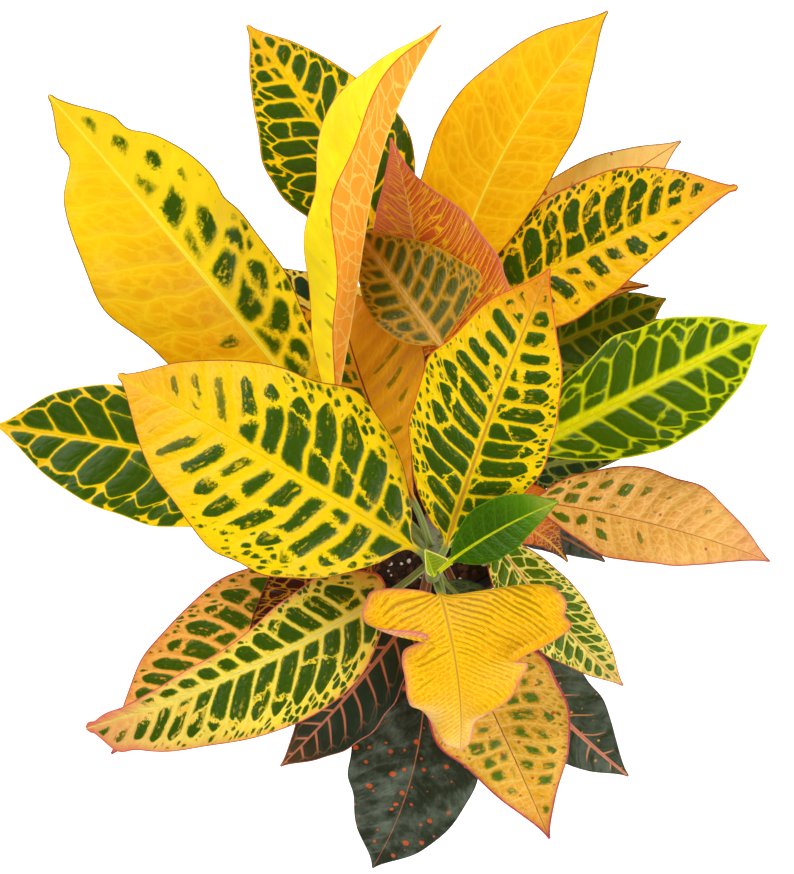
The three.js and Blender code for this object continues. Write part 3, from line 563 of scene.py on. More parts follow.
def placed(name, data):
    """A new object of the scene with this data."""
    thing = bpy.data.objects.new(name, data)
    bpy.context.scene.collection.objects.link(thing)
    return thing


def finished_mesh(name, vertices, faces):
    """A smooth object from places in millimetres."""
    mesh = bpy.data.meshes.new(name)
    mesh.from_pydata([tuple(v) for v in np.asarray(vertices) * MM], [], faces)
    mesh.polygons.foreach_set("use_smooth", [True] * len(mesh.polygons))
    mesh.update()
    return placed(name, mesh)


def from_bmesh(name, made):
    """A smooth object from a bmesh, which is then freed."""
    for face in made.faces:
        face.smooth = True
    mesh = bpy.data.meshes.new(name)
    made.to_mesh(mesh)
    made.free()
    return placed(name, mesh)


def ring_faces(rows, count):
    """Quads between rings of points, and one cap at each end."""
    i, j = np.meshgrid(np.arange(rows - 1), np.arange(count), indexing="ij")
    here, there = i * count + j, i * count + (j + 1) % count
    quads = np.stack([here, there, there + count, here + count], axis=-1).reshape(-1, 4)
    last = (rows - 1) * count
    return quads.tolist() + [list(range(count))[::-1], list(range(last, last + count))]


def bake_map(mesh, rows, count):
    """Unrolls the rings over a square, with the two end caps in strips of their own."""
    corners = np.zeros(len(mesh.loops), int)
    mesh.loops.foreach_get("vertex_index", corners)
    row, column = corners // count, (corners % count).astype(float)
    quads = (rows - 1) * count * 4
    starts = column[:quads].reshape(-1, 4)
    closing = np.ptp(starts, axis=1) > count / 2
    starts[closing] = np.where(starts[closing] < 1, count, starts[closing])
    place = np.zeros((len(corners), 2))
    place[:quads, 0] = BAKE_STRIP + (1 - 2 * BAKE_STRIP) * row[:quads] / (rows - 1)
    place[:quads, 1] = starts.reshape(-1) / count
    turn = 2 * math.pi * column[quads:] / count
    middle = np.where(row[quads:] == 0, BAKE_STRIP / 2, 1 - BAKE_STRIP / 2)
    place[quads:, 0] = middle + 0.4 * BAKE_STRIP * np.cos(turn)
    place[quads:, 1] = 0.5 + 0.4 * BAKE_STRIP * np.sin(turn)
    mesh.uv_layers.new(name="OFBake").data.foreach_set("uv", place.reshape(-1))


def leaf_piece(name, leaf):
    """The fine leaf that stands for a leaf's solid, with what the pattern needs in its attributes."""
    fan = blade(leaf, random.Random(leaf.number))
    stalk = petiole(leaf, fan["t"].shape[1])
    both = SimpleNamespace(**{key: np.concatenate([stalk[key], fan[key]]) for key in stalk})
    rings = np.concatenate([both.top, both.bottom[:, ::-1]], axis=1)
    rows, count = rings.shape[:2]
    piece = finished_mesh("croton_leaf_" + name, rings.reshape(-1, 3), ring_faces(rows, count))
    for title, fields in {
        "place": (both.t, both.u, np.ones_like(both.t)),
        "vein": (both.steps, both.a / 10, both.room / 10),
        "flat": (both.along / 10, both.a * np.sign(both.u) / 10, np.full_like(both.t, leaf.number * 1.7)),
    }.items():
        upper = np.stack(fields, axis=-1)
        lower = upper[:, ::-1] * ((1, 1, -1) if title == "place" else 1)
        layer = piece.data.attributes.new(title, "FLOAT_VECTOR", "POINT")
        layer.data.foreach_set("vector", np.concatenate([upper, lower], axis=1).reshape(-1))
    bake_map(piece.data, rows, count)
    return piece


def colour(name):
    """Linear colour, with alpha, of a name in COLOURS or of a #rrggbb code."""
    code = COLOURS.get(name, name)
    channels = [int(code[i:i + 2], 16) / 255 for i in (1, 3, 5)]
    return (*[c / 12.92 if c <= 0.04045 else ((c + 0.055) / 1.055)**2.4 for c in channels], 1.0)


def plug(tree, socket, value):
    """Links a field to a socket, or sets the socket's own value, where text is a colour."""
    if isinstance(value, Field):
        tree.links.new(value.socket, socket)
    elif value is not None:
        socket.default_value = colour(value) if isinstance(value, str) else value


def arithmetic(operation, swapped=False):
    """A method of Field for one operation. swapped is for a plain number on the left."""
    def method(self, other):
        return self.node("Math", *((other, self) if swapped else (self, other)), operation=operation)
    return method


class Field:
    """A value that varies over a surface. Arithmetic on it adds the nodes that work it out."""

    def __init__(self, tree, socket):
        self.tree, self.socket = tree, socket

    def node(self, kind, *values, output=0, **settings):
        """The output of a new node whose first inputs have these values."""
        made = self.tree.nodes.new("ShaderNode" + kind)
        for key, value in settings.items():
            setattr(made, key, value)
        for socket, value in zip(made.inputs, values):
            plug(self.tree, socket, value)
        return Field(self.tree, made.outputs[output])

    __add__ = arithmetic("ADD")
    __sub__ = arithmetic("SUBTRACT")
    __rsub__ = arithmetic("SUBTRACT", swapped=True)
    __mul__ = arithmetic("MULTIPLY")
    __truediv__ = arithmetic("DIVIDE")
    largest = arithmetic("MAXIMUM")
    below = arithmetic("LESS_THAN")

    def math(self, operation):
        return self.node("Math", self, operation=operation)

    def smallest(self, other, rounding=0.0):
        """The smaller of two values, with the change from one to the other rounded off."""
        return self.node("Math", self, other, rounding, operation="SMOOTH_MIN" if rounding else "MINIMUM")

    def clamp(self):
        return self.node("Clamp", self)

    def rise(self, low, high):
        """0 below low and 1 above high, smooth between. It falls instead where low is above high."""
        return self.node("MapRange", self, low, high, 0.0, 1.0, interpolation_type="SMOOTHSTEP")

    def between(self, low, high):
        """low where this number is 0 and high where it is 1."""
        return self.node("MapRange", self, 0.0, 1.0, low, high)

    def parts(self):
        """The three coordinates of a vector, or the channels of a colour."""
        split = self.node("SeparateXYZ", self).socket.node
        return [Field(self.tree, socket) for socket in split.outputs]

    def scaled(self, *factors):
        return self.node("VectorMath", self, factors, operation="MULTIPLY")

    def noise(self, scale, detail=2.0, roughness=0.5):
        """Cloudy noise at this place, from 0 to 1."""
        return self.node("TexNoise", self, None, scale, detail, roughness)

    def cells(self, scale=1.0, randomness=1.0, feature="F1", output=0, dimensions="2D"):
        """Irregular cells: the distance to their middles, or another output of another feature."""
        place = (None, self) if dimensions == "1D" else (self, None)
        return self.node("TexVoronoi", *place, scale, *[None] * 5, randomness, output=output, feature=feature,
                         voronoi_dimensions=dimensions)

    def choose(self, low, high):
        """The colour low where this number is 0 and high where it is 1."""
        return self.node("Mix", self, *[None] * 5, low, high, output=2, data_type="RGBA")

    def blend(self, other, factor):
        """This colour where factor is 0 and other where it is 1."""
        return factor.choose(self, other)

    def shaded(self, hue, saturation, value):
        """This colour with its hue, saturation and value changed, where 0.5, 1 and 1 change nothing."""
        return self.node("HueSaturation", hue, saturation, value, 1.0, self)


def vector(x, y, z):
    return x.node("CombineXYZ", x, y, z)


def attribute(tree, name):
    made = tree.nodes.new("ShaderNodeAttribute")
    made.attribute_name = name
    return Field(tree, made.outputs["Vector"])


def object_place(material):
    """Place on the object, in metres."""
    tree = material.node_tree
    return Field(tree, tree.nodes.new("ShaderNodeTexCoord").outputs["Object"])


def new_material(name, **constants):
    """A material with one shader, whose sockets the constants name."""
    material = bpy.data.materials.new(name)
    material.use_nodes = True
    sockets = material.node_tree.nodes["Principled BSDF"].inputs
    for key, value in constants.items():
        sockets[key.replace("_", " ")].default_value = value
    return material


def dress(material, base, roughness=None, height=None, depth=0.0002, strength=1.0):
    """Plugs colour, roughness and a bump of this depth in metres into the material's shader."""
    tree = material.node_tree
    sockets = tree.nodes["Principled BSDF"].inputs
    plug(tree, sockets["Base Color"], base)
    plug(tree, sockets["Roughness"], roughness)
    if height:
        plug(tree, sockets["Normal"], height.node("Bump", strength, depth, None, height))
    return material


# What the pattern is given for each leaf, by kind of socket
PATTERN_INPUTS = {
    "Color": ("ground", "ground_tip", "ground_right", "right_tip", "green", "shade", "vein", "midrib",
              "margin", "blush", "under", "petiole", "speck"),
    "Float": ("pitch", "cell", "vein_width", "vein_strength", "vein_reach", "halo", "midrib_width",
              "margin_width", "blush_tip", "blush_margin", "specks", "speck_size", "net", "net_length",
              "net_scale", "softness", "outer_fill", "marbling", "bloom", "under_mix", "seed"),
    "Vector": ("share", "share_right"),
}
PATTERN_OUTPUTS = {"Color": "Color", "Roughness": "Float", "Height": "Float"}


def leaf_pattern():
    """A node group with the croton's markings. Green lies in the cells between the veins, and the less
    green a zone has, the further its patches draw back from the veins. Lengths are in centimetres."""
    tree = bpy.data.node_groups.new("croton_leaf", "ShaderNodeTree")
    for kind, names in PATTERN_INPUTS.items():
        for name in names:
            tree.interface.new_socket(name, in_out="INPUT", socket_type="NodeSocket" + kind)
    for name, kind in PATTERN_OUTPUTS.items():
        tree.interface.new_socket(name, in_out="OUTPUT", socket_type="NodeSocket" + kind)
    entry = tree.nodes.new("NodeGroupInput")
    given = SimpleNamespace(**{socket.name: Field(tree, socket) for socket in entry.outputs if socket.name})

    along, across, face = attribute(tree, "place").parts()
    step, from_rib, from_margin = attribute(tree, "vein").parts()
    flat = attribute(tree, "flat")
    half = across.math("ABSOLUTE")
    left = across.node("Math", across, 0.0, operation="GREATER_THAN")
    above = face.rise(-0.2, 0.2)
    patches = flat.noise(0.55, 2.0)
    ragged = flat.noise(3.2, 4.0, 0.6)
    fine = flat.noise(12.0, 2.0, 0.6)
    pitch = given.pitch

    # A chart that runs along the side veins. Its unit is the distance between two of them.
    outward = from_rib / pitch
    half_seed = left * 37.0 + given.seed * 5.0
    warp = (ragged - 0.5) * (given.marbling * 0.3 + 0.04)
    streaks = vector(step, outward * 0.22, half_seed).noise(4.5, 3.0, 0.6)
    chart = vector((step + half_seed + warp) * 2.8, (outward + warp) * 2.4 / given.net_length, 0.0)
    chart = chart.node("VectorMath", chart, None, None, given.net_scale, operation="SCALE")
    net_edge = chart.cells(feature="DISTANCE_TO_EDGE")
    net_centre = chart.cells()

    # How far each place is from the veins around it, in units of the chart
    block = step.math("FLOOR") + left * 53.0 + given.seed * 17.0
    chance = block.node("TexWhiteNoise", None, block, noise_dimensions="1D")
    inside = step.math("FRACT") - 0.5
    lateral = 0.5 - inside.math("ABSOLUTE")
    rib_half = along.between(given.midrib_width, given.midrib_width * 0.3)
    beside_rib = (from_rib - rib_half) / pitch
    tilt = (chance * 7.31).math("FRACT") - 0.5
    cell_place = outward / given.cell + chance * 19.0 + inside * tilt * 0.7 + ragged * given.marbling * 0.5
    cross_vein = cell_place.cells(1.0, 0.9, "DISTANCE_TO_EDGE", dimensions="1D") * given.cell
    tone = cell_place.cells(1.0, 0.9, output=1, dimensions="1D").parts()[0]
    arcade = (step * (2 * math.pi)).math("COSINE") * -0.07 + chance * 0.08 + 0.71
    beyond_arcade = half - arcade
    loop = beyond_arcade.math("ABSOLUTE") * (from_rib + from_margin) / pitch
    outer = beyond_arcade.rise(-0.02, 0.02)
    inner_room = lateral * half.between(0.85, 1.25)
    inner_room = inner_room.smallest(cross_vein + 0.03, 0.25).smallest(beside_rib, 0.25)
    outer_room = (0.31 - net_centre * 0.6).smallest(net_edge * 0.9) + given.outer_fill
    forks_only = (given.outer_fill - 0.12).largest(0.0) * 20.0 * (lateral - 0.3).largest(0.0)
    room = mix(inner_room, outer_room, outer).smallest(loop * 1.5 + forks_only, 0.25)
    room = room.smallest(from_margin / pitch + 0.02, 0.1)

    # Share of green, and where it shows
    at_base = (1.0 - along * 2.0).clamp()
    at_tip = (along * 2.0 - 1.0).clamp()
    weights = vector(at_base, 1.0 - at_base - at_tip, at_tip)
    shares = [weights.node("VectorMath", weights, side, operation="DOT_PRODUCT", output=1)
              for side in (given.share_right, given.share)]
    share = mix(*shares, left)
    loose = (1.25 - share).clamp() * given.marbling
    share = share + ((tone - 0.5) * 0.7 + (patches - 0.5) * 1.1) * loose
    sparse = (1.15 - share).clamp()
    limit = 0.38 - share * 0.33
    ruggedness = (1.5 - share * 0.8).clamp() * (given.marbling + 0.5)
    room = room + ((ragged - 0.5) * outer.between(0.15, 0.08) + (fine - 0.5) * 0.07) * ruggedness
    room = room + (streaks - 0.5) * 0.5 * sparse
    green = room.rise(limit - given.softness * 0.025, limit + given.softness * 0.04)
    depth = room.rise(limit, limit + 0.14)
    holes = (ragged * 0.4 + streaks * 0.6 + given.marbling * 0.08).rise(0.6, 0.7) * sparse.rise(0.08, 0.35)
    green = green * (1.0 - holes * 0.65)

    # The blade's ground, and the colour of the veins that spreads beside them
    tipward = along.rise(0.45, 0.95)
    ground = given.ground_right.blend(given.ground, left).blend(
        given.right_tip.blend(given.ground_tip, left), tipward)
    ground = ground.shaded(patches.between(0.488, 0.512), 1.0, (patches + fine * 0.3).between(0.84, 1.1))
    crossed = half.rise(given.vein_reach, given.vein_reach * 0.5)
    vein_room = lateral.smallest(loop).smallest(beside_rib).smallest(net_edge * 0.6 + 0.03)
    halo = vein_room.rise(0.2, 0.0) * given.vein_strength * given.halo * crossed

    # Lines of the veins and of the net
    width = given.vein_width / pitch * (1.0 - half * 0.5)
    vein_line = lateral.rise(width, width * 0.2)
    lines = vein_line.largest(loop.rise(width * 0.9, 0.0) * 0.7)
    lines = lines.largest(net_edge.rise(0.11, 0.02) * given.net)
    lines = lines.largest(cross_vein.rise(0.035, 0.01) * given.net) * given.vein_strength
    lines = lines * from_margin.rise(0.0, 0.25) * along.rise(0.0, 0.04) * crossed

    # Blush, green, midrib with painted shade down its middle, a grey painted sheen and margin, and the specks
    # and freckles over them
    blush = along.rise(0.72, 1.0) * given.blush_tip + from_margin.rise(0.55, 0.0) * given.blush_margin
    leafy = given.green.blend(given.shade, depth * ragged.between(0.6, 1.2).clamp())
    leafy = leafy.shaded(0.5, 1.0, fine.between(0.75, 1.25))
    rib = (from_rib - rib_half).rise(0.012, -0.02)
    # A grey painted sheen in soft clouds over the blade
    bloom = (patches * 0.75 + ragged * 0.25).rise(0.42, 0.7) * given.bloom
    edge_width = given.margin_width * ragged.between(0.5, 1.5)
    edge = from_margin.rise(edge_width, edge_width * 0.45)
    flat_place = flat.scaled(1.0, 1.0, 0.0)
    distance = flat_place.cells(0.95)
    draws = flat_place.cells(0.95, output=1).parts()
    radius = given.speck_size * draws[1].between(0.2, 1.0)
    speck = (distance + (fine - 0.5) * 0.08).rise(radius, radius * 0.6) * draws[0].below(given.specks)
    freckle = flat_place.cells(1.9).rise(0.035, 0.015) * patches.rise(0.5, 0.62)
    # The darker midrib colour along its middle is painted shade, as if in a crease.
    painted = (
        ground.blend(given.vein, halo).blend(given.vein, lines)
        .blend(given.blush, blush * patches.between(0.6, 1.6).clamp())
        .blend(leafy, green * (share * 0.7 + 0.72).clamp())
        .blend(given.midrib, rib * 0.95)
        .blend(given.midrib.shaded(0.49, 1.1, 0.62), from_rib.rise(0.035, 0.0) * 0.45)
        .blend("dusty_grey", bloom).blend(given.margin, edge * 0.95).blend(given.speck, speck * 0.85)
        .blend(given.margin.shaded(0.5, 0.8, 0.5), freckle * 0.55)
    )

    # The back and the petiole
    back_lines = vein_line.largest(net_edge.rise(0.09, 0.02) * 0.8).largest(rib)
    back = painted.blend(given.under, given.under_mix)
    back = back.blend(given.vein.shaded(0.5, 0.85, 1.05), back_lines * 0.7).blend(given.margin, edge * 0.85)
    stalk = along.rise(0.03, -0.03)
    streak = vector(from_rib * 9.0, along * 4.0, given.seed).noise(2.0, 3.0)
    stalk_colour = given.petiole.shaded(0.5, 1.0, streak.between(0.6, 1.3))
    painted = back.blend(painted, above).blend(stalk_colour, stalk)

    height = (lateral.rise(0.0, 0.3) * 0.6 + net_edge.rise(0.0, 0.3) * 0.3 + fine * 0.12
              + from_rib.rise(0.0, 0.2) * 0.2)
    roughness = (ragged * 0.16 + 0.26) + (1.0 - above) * 0.2 + stalk * 0.1
    leaving = tree.nodes.new("NodeGroupOutput")
    for name, field in zip(PATTERN_OUTPUTS, (painted, roughness, height)):
        plug(tree, leaving.inputs[name], field)
    return tree


def leaf_material(name, leaf, pattern):
    """Leathery blade: the pattern's colour on a satin skin."""
    material = new_material("blade_" + name, Specular_IOR_Level=0.14)
    tree = material.node_tree
    group = tree.nodes.new("ShaderNodeGroup")
    group.node_tree = pattern
    for names in PATTERN_INPUTS.values():
        for title in names:
            plug(tree, group.inputs[title], getattr(leaf, title))
    fields = [Field(tree, group.outputs[title]) for title in PATTERN_OUTPUTS]
    return dress(material, *fields, depth=0.0011, strength=leaf.relief)


def pot_material():
    """Dark moulded plastic, a little dusty and scuffed, with dried soil below the rim's edge."""
    material = new_material("pot_plastic", Specular_IOR_Level=0.4)
    place = object_place(material)
    dust = place.noise(18.0, 4.0, 0.6)
    grain = place.noise(900.0, 2.0)
    scuffs = place.scaled(1.0, 1.0, 6.0).noise(60.0, 5.0, 0.7).rise(0.62, 0.72)
    splash = (place.parts()[2] + dust * 0.02).rise(0.112, 0.126)
    painted = (dust.rise(0.45, 0.75) * 0.5).choose("#2a2b2d", "#4a4642")
    painted = painted.blend("#5b5a58", scuffs * 0.5).blend("#3a2b20", splash * 0.5)
    return dress(material, painted, dust.between(0.38, 0.68), grain + scuffs * 0.5, depth=0.00006)


def soil_material(name, light, dark, scale, lumps):
    """Crumbs of one kind, each with a tone of its own."""
    material = new_material(name, Roughness=0.95, Specular_IOR_Level=0.2)
    place = object_place(material)
    grain = place.noise(scale, 5.0, 0.7)
    crumbs = place.cells(scale * 0.6, output=1, dimensions="3D").parts()[0]
    painted = (grain * 0.6 + crumbs * 0.5 - 0.15).clamp().choose(dark, light)
    return dress(material, painted, None, grain + crumbs * 0.4, depth=lumps)


def bark_material():
    """Grey-brown bark with pale pores and scars below, green and smoother towards the shoot."""
    material = new_material("croton_bark", Specular_IOR_Level=0.35)
    place = object_place(material)
    young = (place.parts()[2] + place.noise(30.0, 2.0) * 0.05).rise(0.17, 0.32)
    grain = place.scaled(1.0, 1.0, 0.25).noise(420.0, 5.0, 0.65)
    pores = place.scaled(1.0, 1.0, 0.45).cells(330.0, dimensions="3D").rise(0.28, 0.12)
    painted = grain.rise(0.4, 0.7).choose("#5e5140", "#8d8068")
    painted = painted.blend("#6f7a3a", young * 0.85).blend("#b5a787", pores * 0.55)
    return dress(material, painted, young.between(0.8, 0.5), grain - pores * 0.4, depth=0.0004)


# Stems: sides and rings of their fine meshes, and the scars that fallen leaves left on them
STEM_SIDES = 28
STEM_ROWS = 150
SHOOT_ROWS = 6
SHOOT_LENGTH = 9.0
FIRST_SCAR = 50.0
SCAR_STEP = 9.0
SCAR_SWELL = 0.45
SCAR_TURN = math.radians(137.5)
FOOT_FLARE = 1.2
FOOT_PLACE = 46


def stem_piece(name, stem, rng):
    """A woody stem with a swelling and a scar under each fallen leaf, which ends in a small shoot."""
    points = stem.points
    angles = np.linspace(0, 2 * math.pi, STEM_SIDES, endpoint=False)
    length = sum(math.dist(a, b) for a, b in zip(points, points[1:]))
    scars = []
    place, turn = FIRST_SCAR, rng.uniform(0, 6.28)
    while place < length:
        scars.append((place, turn))
        place += SCAR_STEP * rng.uniform(0.75, 1.3)
        turn += SCAR_TURN
    rings = []
    for share in np.linspace(0, 1, STEM_ROWS + 1):
        axis = spline_direction(points, share)
        upright = abs(axis[2]) > 0.999
        left, out = np.eye(3)[:2] if upright else frames(axis, np.zeros(()))
        run = share * length
        reach = mix(stem.foot, stem.top, share) + FOOT_FLARE * hump(run, FOOT_PLACE, 9.0)
        reach = reach + 0.12 * np.sin(angles * 3 + run * 0.05) + 0.08 * np.sin(angles * 5 - run * 0.21)
        for scar, facing in scars:
            around = 0.35 + 0.65 * np.maximum(np.cos(angles - facing), 0)**2
            reach += SCAR_SWELL * hump(run, scar, 1.6) * around
        rings.append(spline_point(points, share) + np.outer(reach * np.cos(angles), left)
                     + np.outer(reach * np.sin(angles), out))
    end = rings[-1]
    middle = end.mean(axis=0)
    for share in np.linspace(0, 1, SHOOT_ROWS + 1)[1:]:
        size = math.sqrt(max(1 - share * share, 0.004)) * 0.9
        rings.append(middle + spline_direction(points, 1) * SHOOT_LENGTH * share + (end - middle) * size)
    return finished_mesh(name, np.concatenate(rings), ring_faces(len(rings), STEM_SIDES))


def turned_mesh(name, profile, sides):
    """A closed turned form from (radius, height) pairs that start and end on the axis, below and above.
    A height may be a function of the place."""
    angles = [2 * math.pi * j / sides for j in range(sides)]
    places = [(r * math.cos(a), r * math.sin(a), z) for r, z in profile for a in (angles if r else [0])]
    vertices = [(x, y, z(x, y) if callable(z) else z) for x, y, z in places]
    faces = []
    for j in range(sides):
        ring = range(1 + j, len(vertices) - 1, sides)
        beside = range(1 + (j + 1) % sides, len(vertices) - 1, sides)
        faces.append((0, beside[0], ring[0]))
        faces += zip(beside[:-1], beside[1:], ring[1:], ring[:-1])
        faces.append((len(vertices) - 1, ring[-1], beside[-1]))
    return finished_mesh(name, vertices, faces)


# Pot: sides of its mesh, its small roundings, and the angle from which an edge is crisp
POT_SIDES = 144
LIP_ROUND = 1.0
ROUND_STEPS = 6
CREASE = math.radians(38)


def pot_radius(z):
    """Radius of the pot's outside at a height, below its rim band."""
    return mix(POT_BASE_RADIUS, POT_TOP_RADIUS - RIM_STEP, z / POT_HEIGHT)


def inner_radius(z):
    """Radius of its inside at a height."""
    return pot_radius(z) - POT_WALL


def pot_piece():
    """The pot, with a rolled lip, a rim band over a small step, and drain holes cut through its floor."""
    shoulder = POT_HEIGHT - RIM_HEIGHT
    lip = [(POT_TOP_RADIUS - POT_WALL / 2 + 0.4 + (POT_WALL / 2 + 0.2) * math.cos(a),
            POT_HEIGHT - LIP_ROUND * (1 - math.sin(a)))
           for a in np.linspace(0, math.pi, ROUND_STEPS + 1)]
    foot = [(POT_BASE_RADIUS - FOOT_CHAMFER * (1 - math.sin(a)), FOOT_CHAMFER * (1 - math.cos(a)))
            for a in np.linspace(0, math.pi / 2, ROUND_STEPS)]
    wall = [(pot_radius(z), z) for z in np.linspace(8, shoulder - 2, 6)]
    step = [(pot_radius(shoulder) + 0.1, shoulder - 0.8), (POT_TOP_RADIUS - 0.9, shoulder),
            (POT_TOP_RADIUS - 0.2, shoulder + 0.5), (POT_TOP_RADIUS, shoulder + 1.4),
            (POT_TOP_RADIUS + 0.35, POT_HEIGHT - 4)]
    inside = [(POT_TOP_RADIUS - POT_WALL, POT_HEIGHT - 3), (inner_radius(shoulder), shoulder - 3),
              (inner_radius(40), 40), (inner_radius(POT_FLOOR) - 2, POT_FLOOR + 0.4),
              (inner_radius(POT_FLOOR) - 4, POT_FLOOR)]
    profile = [(0, 0), (20, 0), *foot, *wall, *step, *lip, *inside, (20, POT_FLOOR), (0, POT_FLOOR)]
    pot = turned_mesh("grower_pot", profile, POT_SIDES)
    cutters = bmesh.new()
    for i in range(DRAIN_COUNT):
        angle = (i + 0.5) / DRAIN_COUNT * 2 * math.pi
        made = bmesh.ops.create_cone(
            cutters, cap_ends=True, segments=32, radius1=DRAIN_RADIUS * MM, radius2=DRAIN_RADIUS * MM,
            depth=POT_FLOOR * 4 * MM)
        shift = Vector((DRAIN_CIRCLE * math.cos(angle), DRAIN_CIRCLE * math.sin(angle), 0)) * MM
        bmesh.ops.translate(cutters, verts=made["verts"], vec=shift)
    drains = from_bmesh("drains", cutters)
    cut = pot.modifiers.new("drains", "BOOLEAN")
    cut.operation, cut.object, cut.solver = "DIFFERENCE", drains, "EXACT"
    bpy.context.view_layer.objects.active = pot
    bpy.ops.object.modifier_apply(modifier=cut.name)
    bpy.data.objects.remove(drains)
    crease(pot.data)
    return pot


def crease(mesh):
    """Smooth faces with crisp edges where they meet at a wide angle."""
    made = bmesh.new()
    made.from_mesh(mesh)
    for edge in made.edges:
        edge.smooth = not (edge.is_manifold and edge.calc_face_angle(0) > CREASE)
    for face in made.faces:
        face.smooth = True
    made.to_mesh(mesh)
    made.free()


# Soil: rings and sides of its mesh, the height of its lumps, and how many bits lie on it
SOIL_RINGS = 46
SOIL_SIDES = 150
SOIL_LUMP = 1.6
PERLITE_COUNT = 90
BARK_COUNT = 170


def soil_height(x, y):
    """Height of the soil's surface in millimetres: a low crown with lumps and crumbs."""
    share = min(math.hypot(x, y) / inner_radius(SOIL_LEVEL), 1)
    lump = noise.fractal(Vector((x * 0.09, y * 0.09, 3.1)), 1.0, 2.0, 4)
    crumb = noise.noise(Vector((x * 0.75, y * 0.75, 8.4)))
    return SOIL_LEVEL - SOIL_CROWN * share * share + SOIL_LUMP * lump + 0.5 * crumb - 0.6


def soil_piece():
    """The potting mix: a closed body with a lumpy top that meets the pot's wall."""
    edge = inner_radius(SOIL_LEVEL) - 0.3
    top = [(edge * i / SOIL_RINGS, soil_height) for i in range(SOIL_RINGS, -1, -1)]
    bottom = POT_FLOOR + 0.4
    profile = [(0, bottom), (inner_radius(6) - 0.6, bottom), (inner_radius(60) - 0.4, 60), *top]
    return turned_mesh("potting_soil", profile, SOIL_SIDES)


def crumbs_piece(name, count, sizes, flatness, rng):
    """Irregular bits that lie half sunk in the soil's surface, as one mesh."""
    made = bmesh.new()
    edge = inner_radius(SOIL_LEVEL) - 3
    for _ in range(count):
        clear = False
        while not clear:
            x, y = rng.uniform(-edge, edge), rng.uniform(-edge, edge)
            clear = math.hypot(x, y) < edge and all(
                math.dist((x, y), stem.points[1][:2]) > stem.foot + 3 for stem in STEMS.values())
        size = rng.uniform(*sizes)
        stretch = Vector((rng.uniform(0.7, 1.4), rng.uniform(0.6, 1.0), rng.uniform(0.5, 0.9) * flatness))
        turn = rng.uniform(0, 6.28)
        cosine, sine = math.cos(turn), math.sin(turn)
        tilt = rng.uniform(-0.35, 0.35)
        shift = Vector((rng.uniform(0, 50), 0, 0))
        place = Vector((x, y, soil_height(x, y) + 0.25 * size * flatness))
        for v in bmesh.ops.create_icosphere(made, subdivisions=2, radius=1)["verts"]:
            p = v.co * stretch * size * (1 + 0.35 * noise.noise(v.co * 1.7 + shift))
            p = Vector((p.x * cosine - p.y * sine, p.x * sine + p.y * cosine, p.z + p.x * tilt))
            v.co = (p + place) * MM
    return from_bmesh(name, made)


def settle(piece, material, slot, *nodes):
    """Gives a piece its material and body, and hides the solids that it stands for. slot is not used."""
    piece.data.materials.append(material)
    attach(piece, "root")
    if nodes:
        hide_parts(*nodes)


def build_camera():
    camera = bpy.data.cameras.new("camera")
    camera.sensor_width = SENSOR
    camera.lens = FOCAL_PIXELS / FRAME_PIXELS_HIGH * SENSOR
    camera.clip_end = CAMERA_REACH
    view = placed("camera", camera)
    view.location = CAMERA_PLACE
    bpy.context.scene.camera = view


# White floor, its half width in millimetres, the place that the lamps face, in metres, and the sky
FLOOR_HALF = 40000
FLOOR_GLOW = 0.75
FLOOR_TONES = (0.93, 0.93, 0.93, 1), (0.96, 0.96, 0.96, 1)
LIGHT_AIM = (0, 0.02, 0.28)
WHITE = (1, 1, 1, 1)
SKY_LIGHT = 0.17
SKY_SEEN = 0.92


def area_light(name, place, size, power):
    """A square lamp that faces the foliage."""
    lamp = bpy.data.lights.new(name, "AREA")
    lamp.shape = "SQUARE"
    lamp.size = size
    lamp.energy = power
    thing = placed(name, lamp)
    thing.location = place
    thing.rotation_euler = (Vector(LIGHT_AIM) - Vector(place)).to_track_quat("-Z", "Y").to_euler()


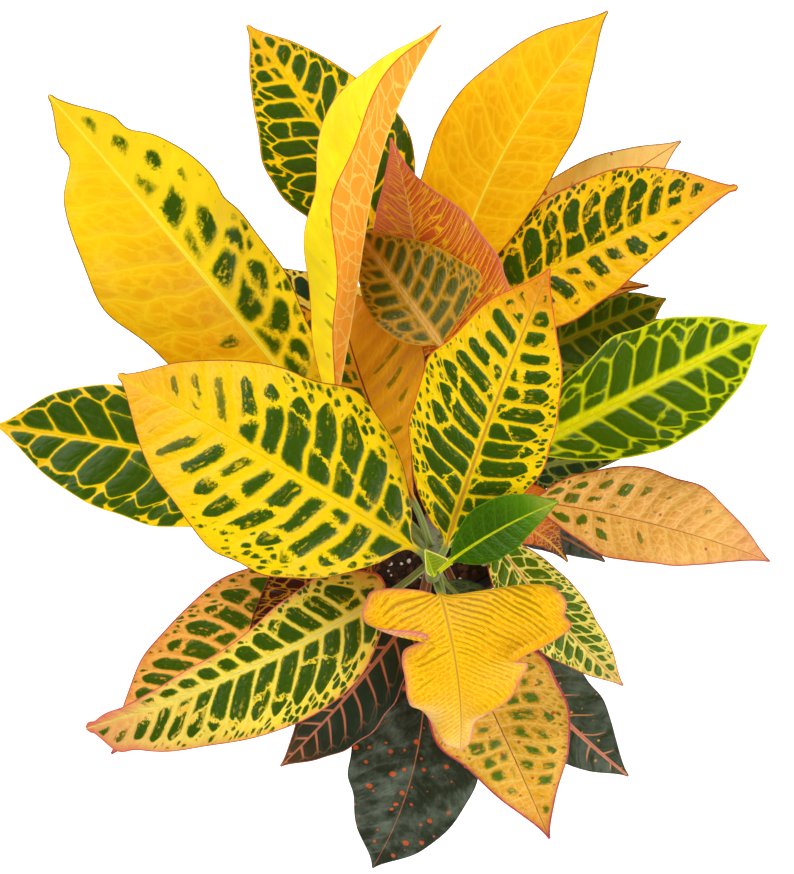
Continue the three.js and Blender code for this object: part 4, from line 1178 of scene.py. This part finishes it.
def build_stage():
    """A white floor that glows a little, so that the plant's shadow stays faint, two soft lights, and a
    white sky that the camera sees brighter than it lights the plant."""
    corners = [(x * FLOOR_HALF, y * FLOOR_HALF, 0) for x, y in ((-1, -1), (1, -1), (1, 1), (-1, 1))]
    floor = finished_mesh("floor", corners, [(0, 1, 2, 3)])
    material = new_material("white_floor", Roughness=0.9, Specular_IOR_Level=0.1, Emission_Color=WHITE,
                            Emission_Strength=FLOOR_GLOW)
    tones = object_place(material).noise(0.8, 2.0).choose(*FLOOR_TONES)
    floor.data.materials.append(dress(material, tones))
    area_light("key", (-1.2, 1.1, 1.9), 1.9, 52)
    area_light("fill", (1.6, -1.0, 1.3), 1.8, 44)
    world = bpy.data.worlds.new("sky")
    world.use_nodes = True
    sky = world.node_tree
    seen = Field(sky, sky.nodes.new("ShaderNodeLightPath").outputs["Is Camera Ray"])
    plug(sky, sky.nodes["Background"].inputs["Color"], WHITE)
    plug(sky, sky.nodes["Background"].inputs["Strength"], seen.between(SKY_LIGHT, SKY_SEEN))
    bpy.context.scene.world = world
    bpy.context.scene.view_settings.view_transform = "Standard"


build_camera()
build_stage()

pattern = leaf_pattern()
for name, leaf in LEAVES.items():
    settle(leaf_piece(name, leaf), leaf_material(name, leaf, pattern), leaf.slot, "leaf_" + name)

bark = bark_material()
for number, (name, stem) in enumerate(STEMS.items(), start=100):
    settle(stem_piece("woody_stem_" + name, stem, random.Random(number)), bark, "stem", "stem_" + name)
settle(pot_piece(), pot_material(), "pot", "pot")
settle(soil_piece(), soil_material("peat", "#4a382a", "#150f0b", 700.0, 0.0012), "soil", "soil")
perlite = crumbs_piece("soil_perlite", PERLITE_COUNT, (0.6, 1.6), 0.9, random.Random(7))
settle(perlite, soil_material("perlite", "#f4f2ec", "#cfcac0", 1500.0, 0.0003), "soil")
bark_bits = crumbs_piece("soil_bark", BARK_COUNT, (1.2, 3.2), 0.4, random.Random(8))
settle(bark_bits, soil_material("bark_bits", "#6b4a31", "#2c1b11", 900.0, 0.0004), "soil")
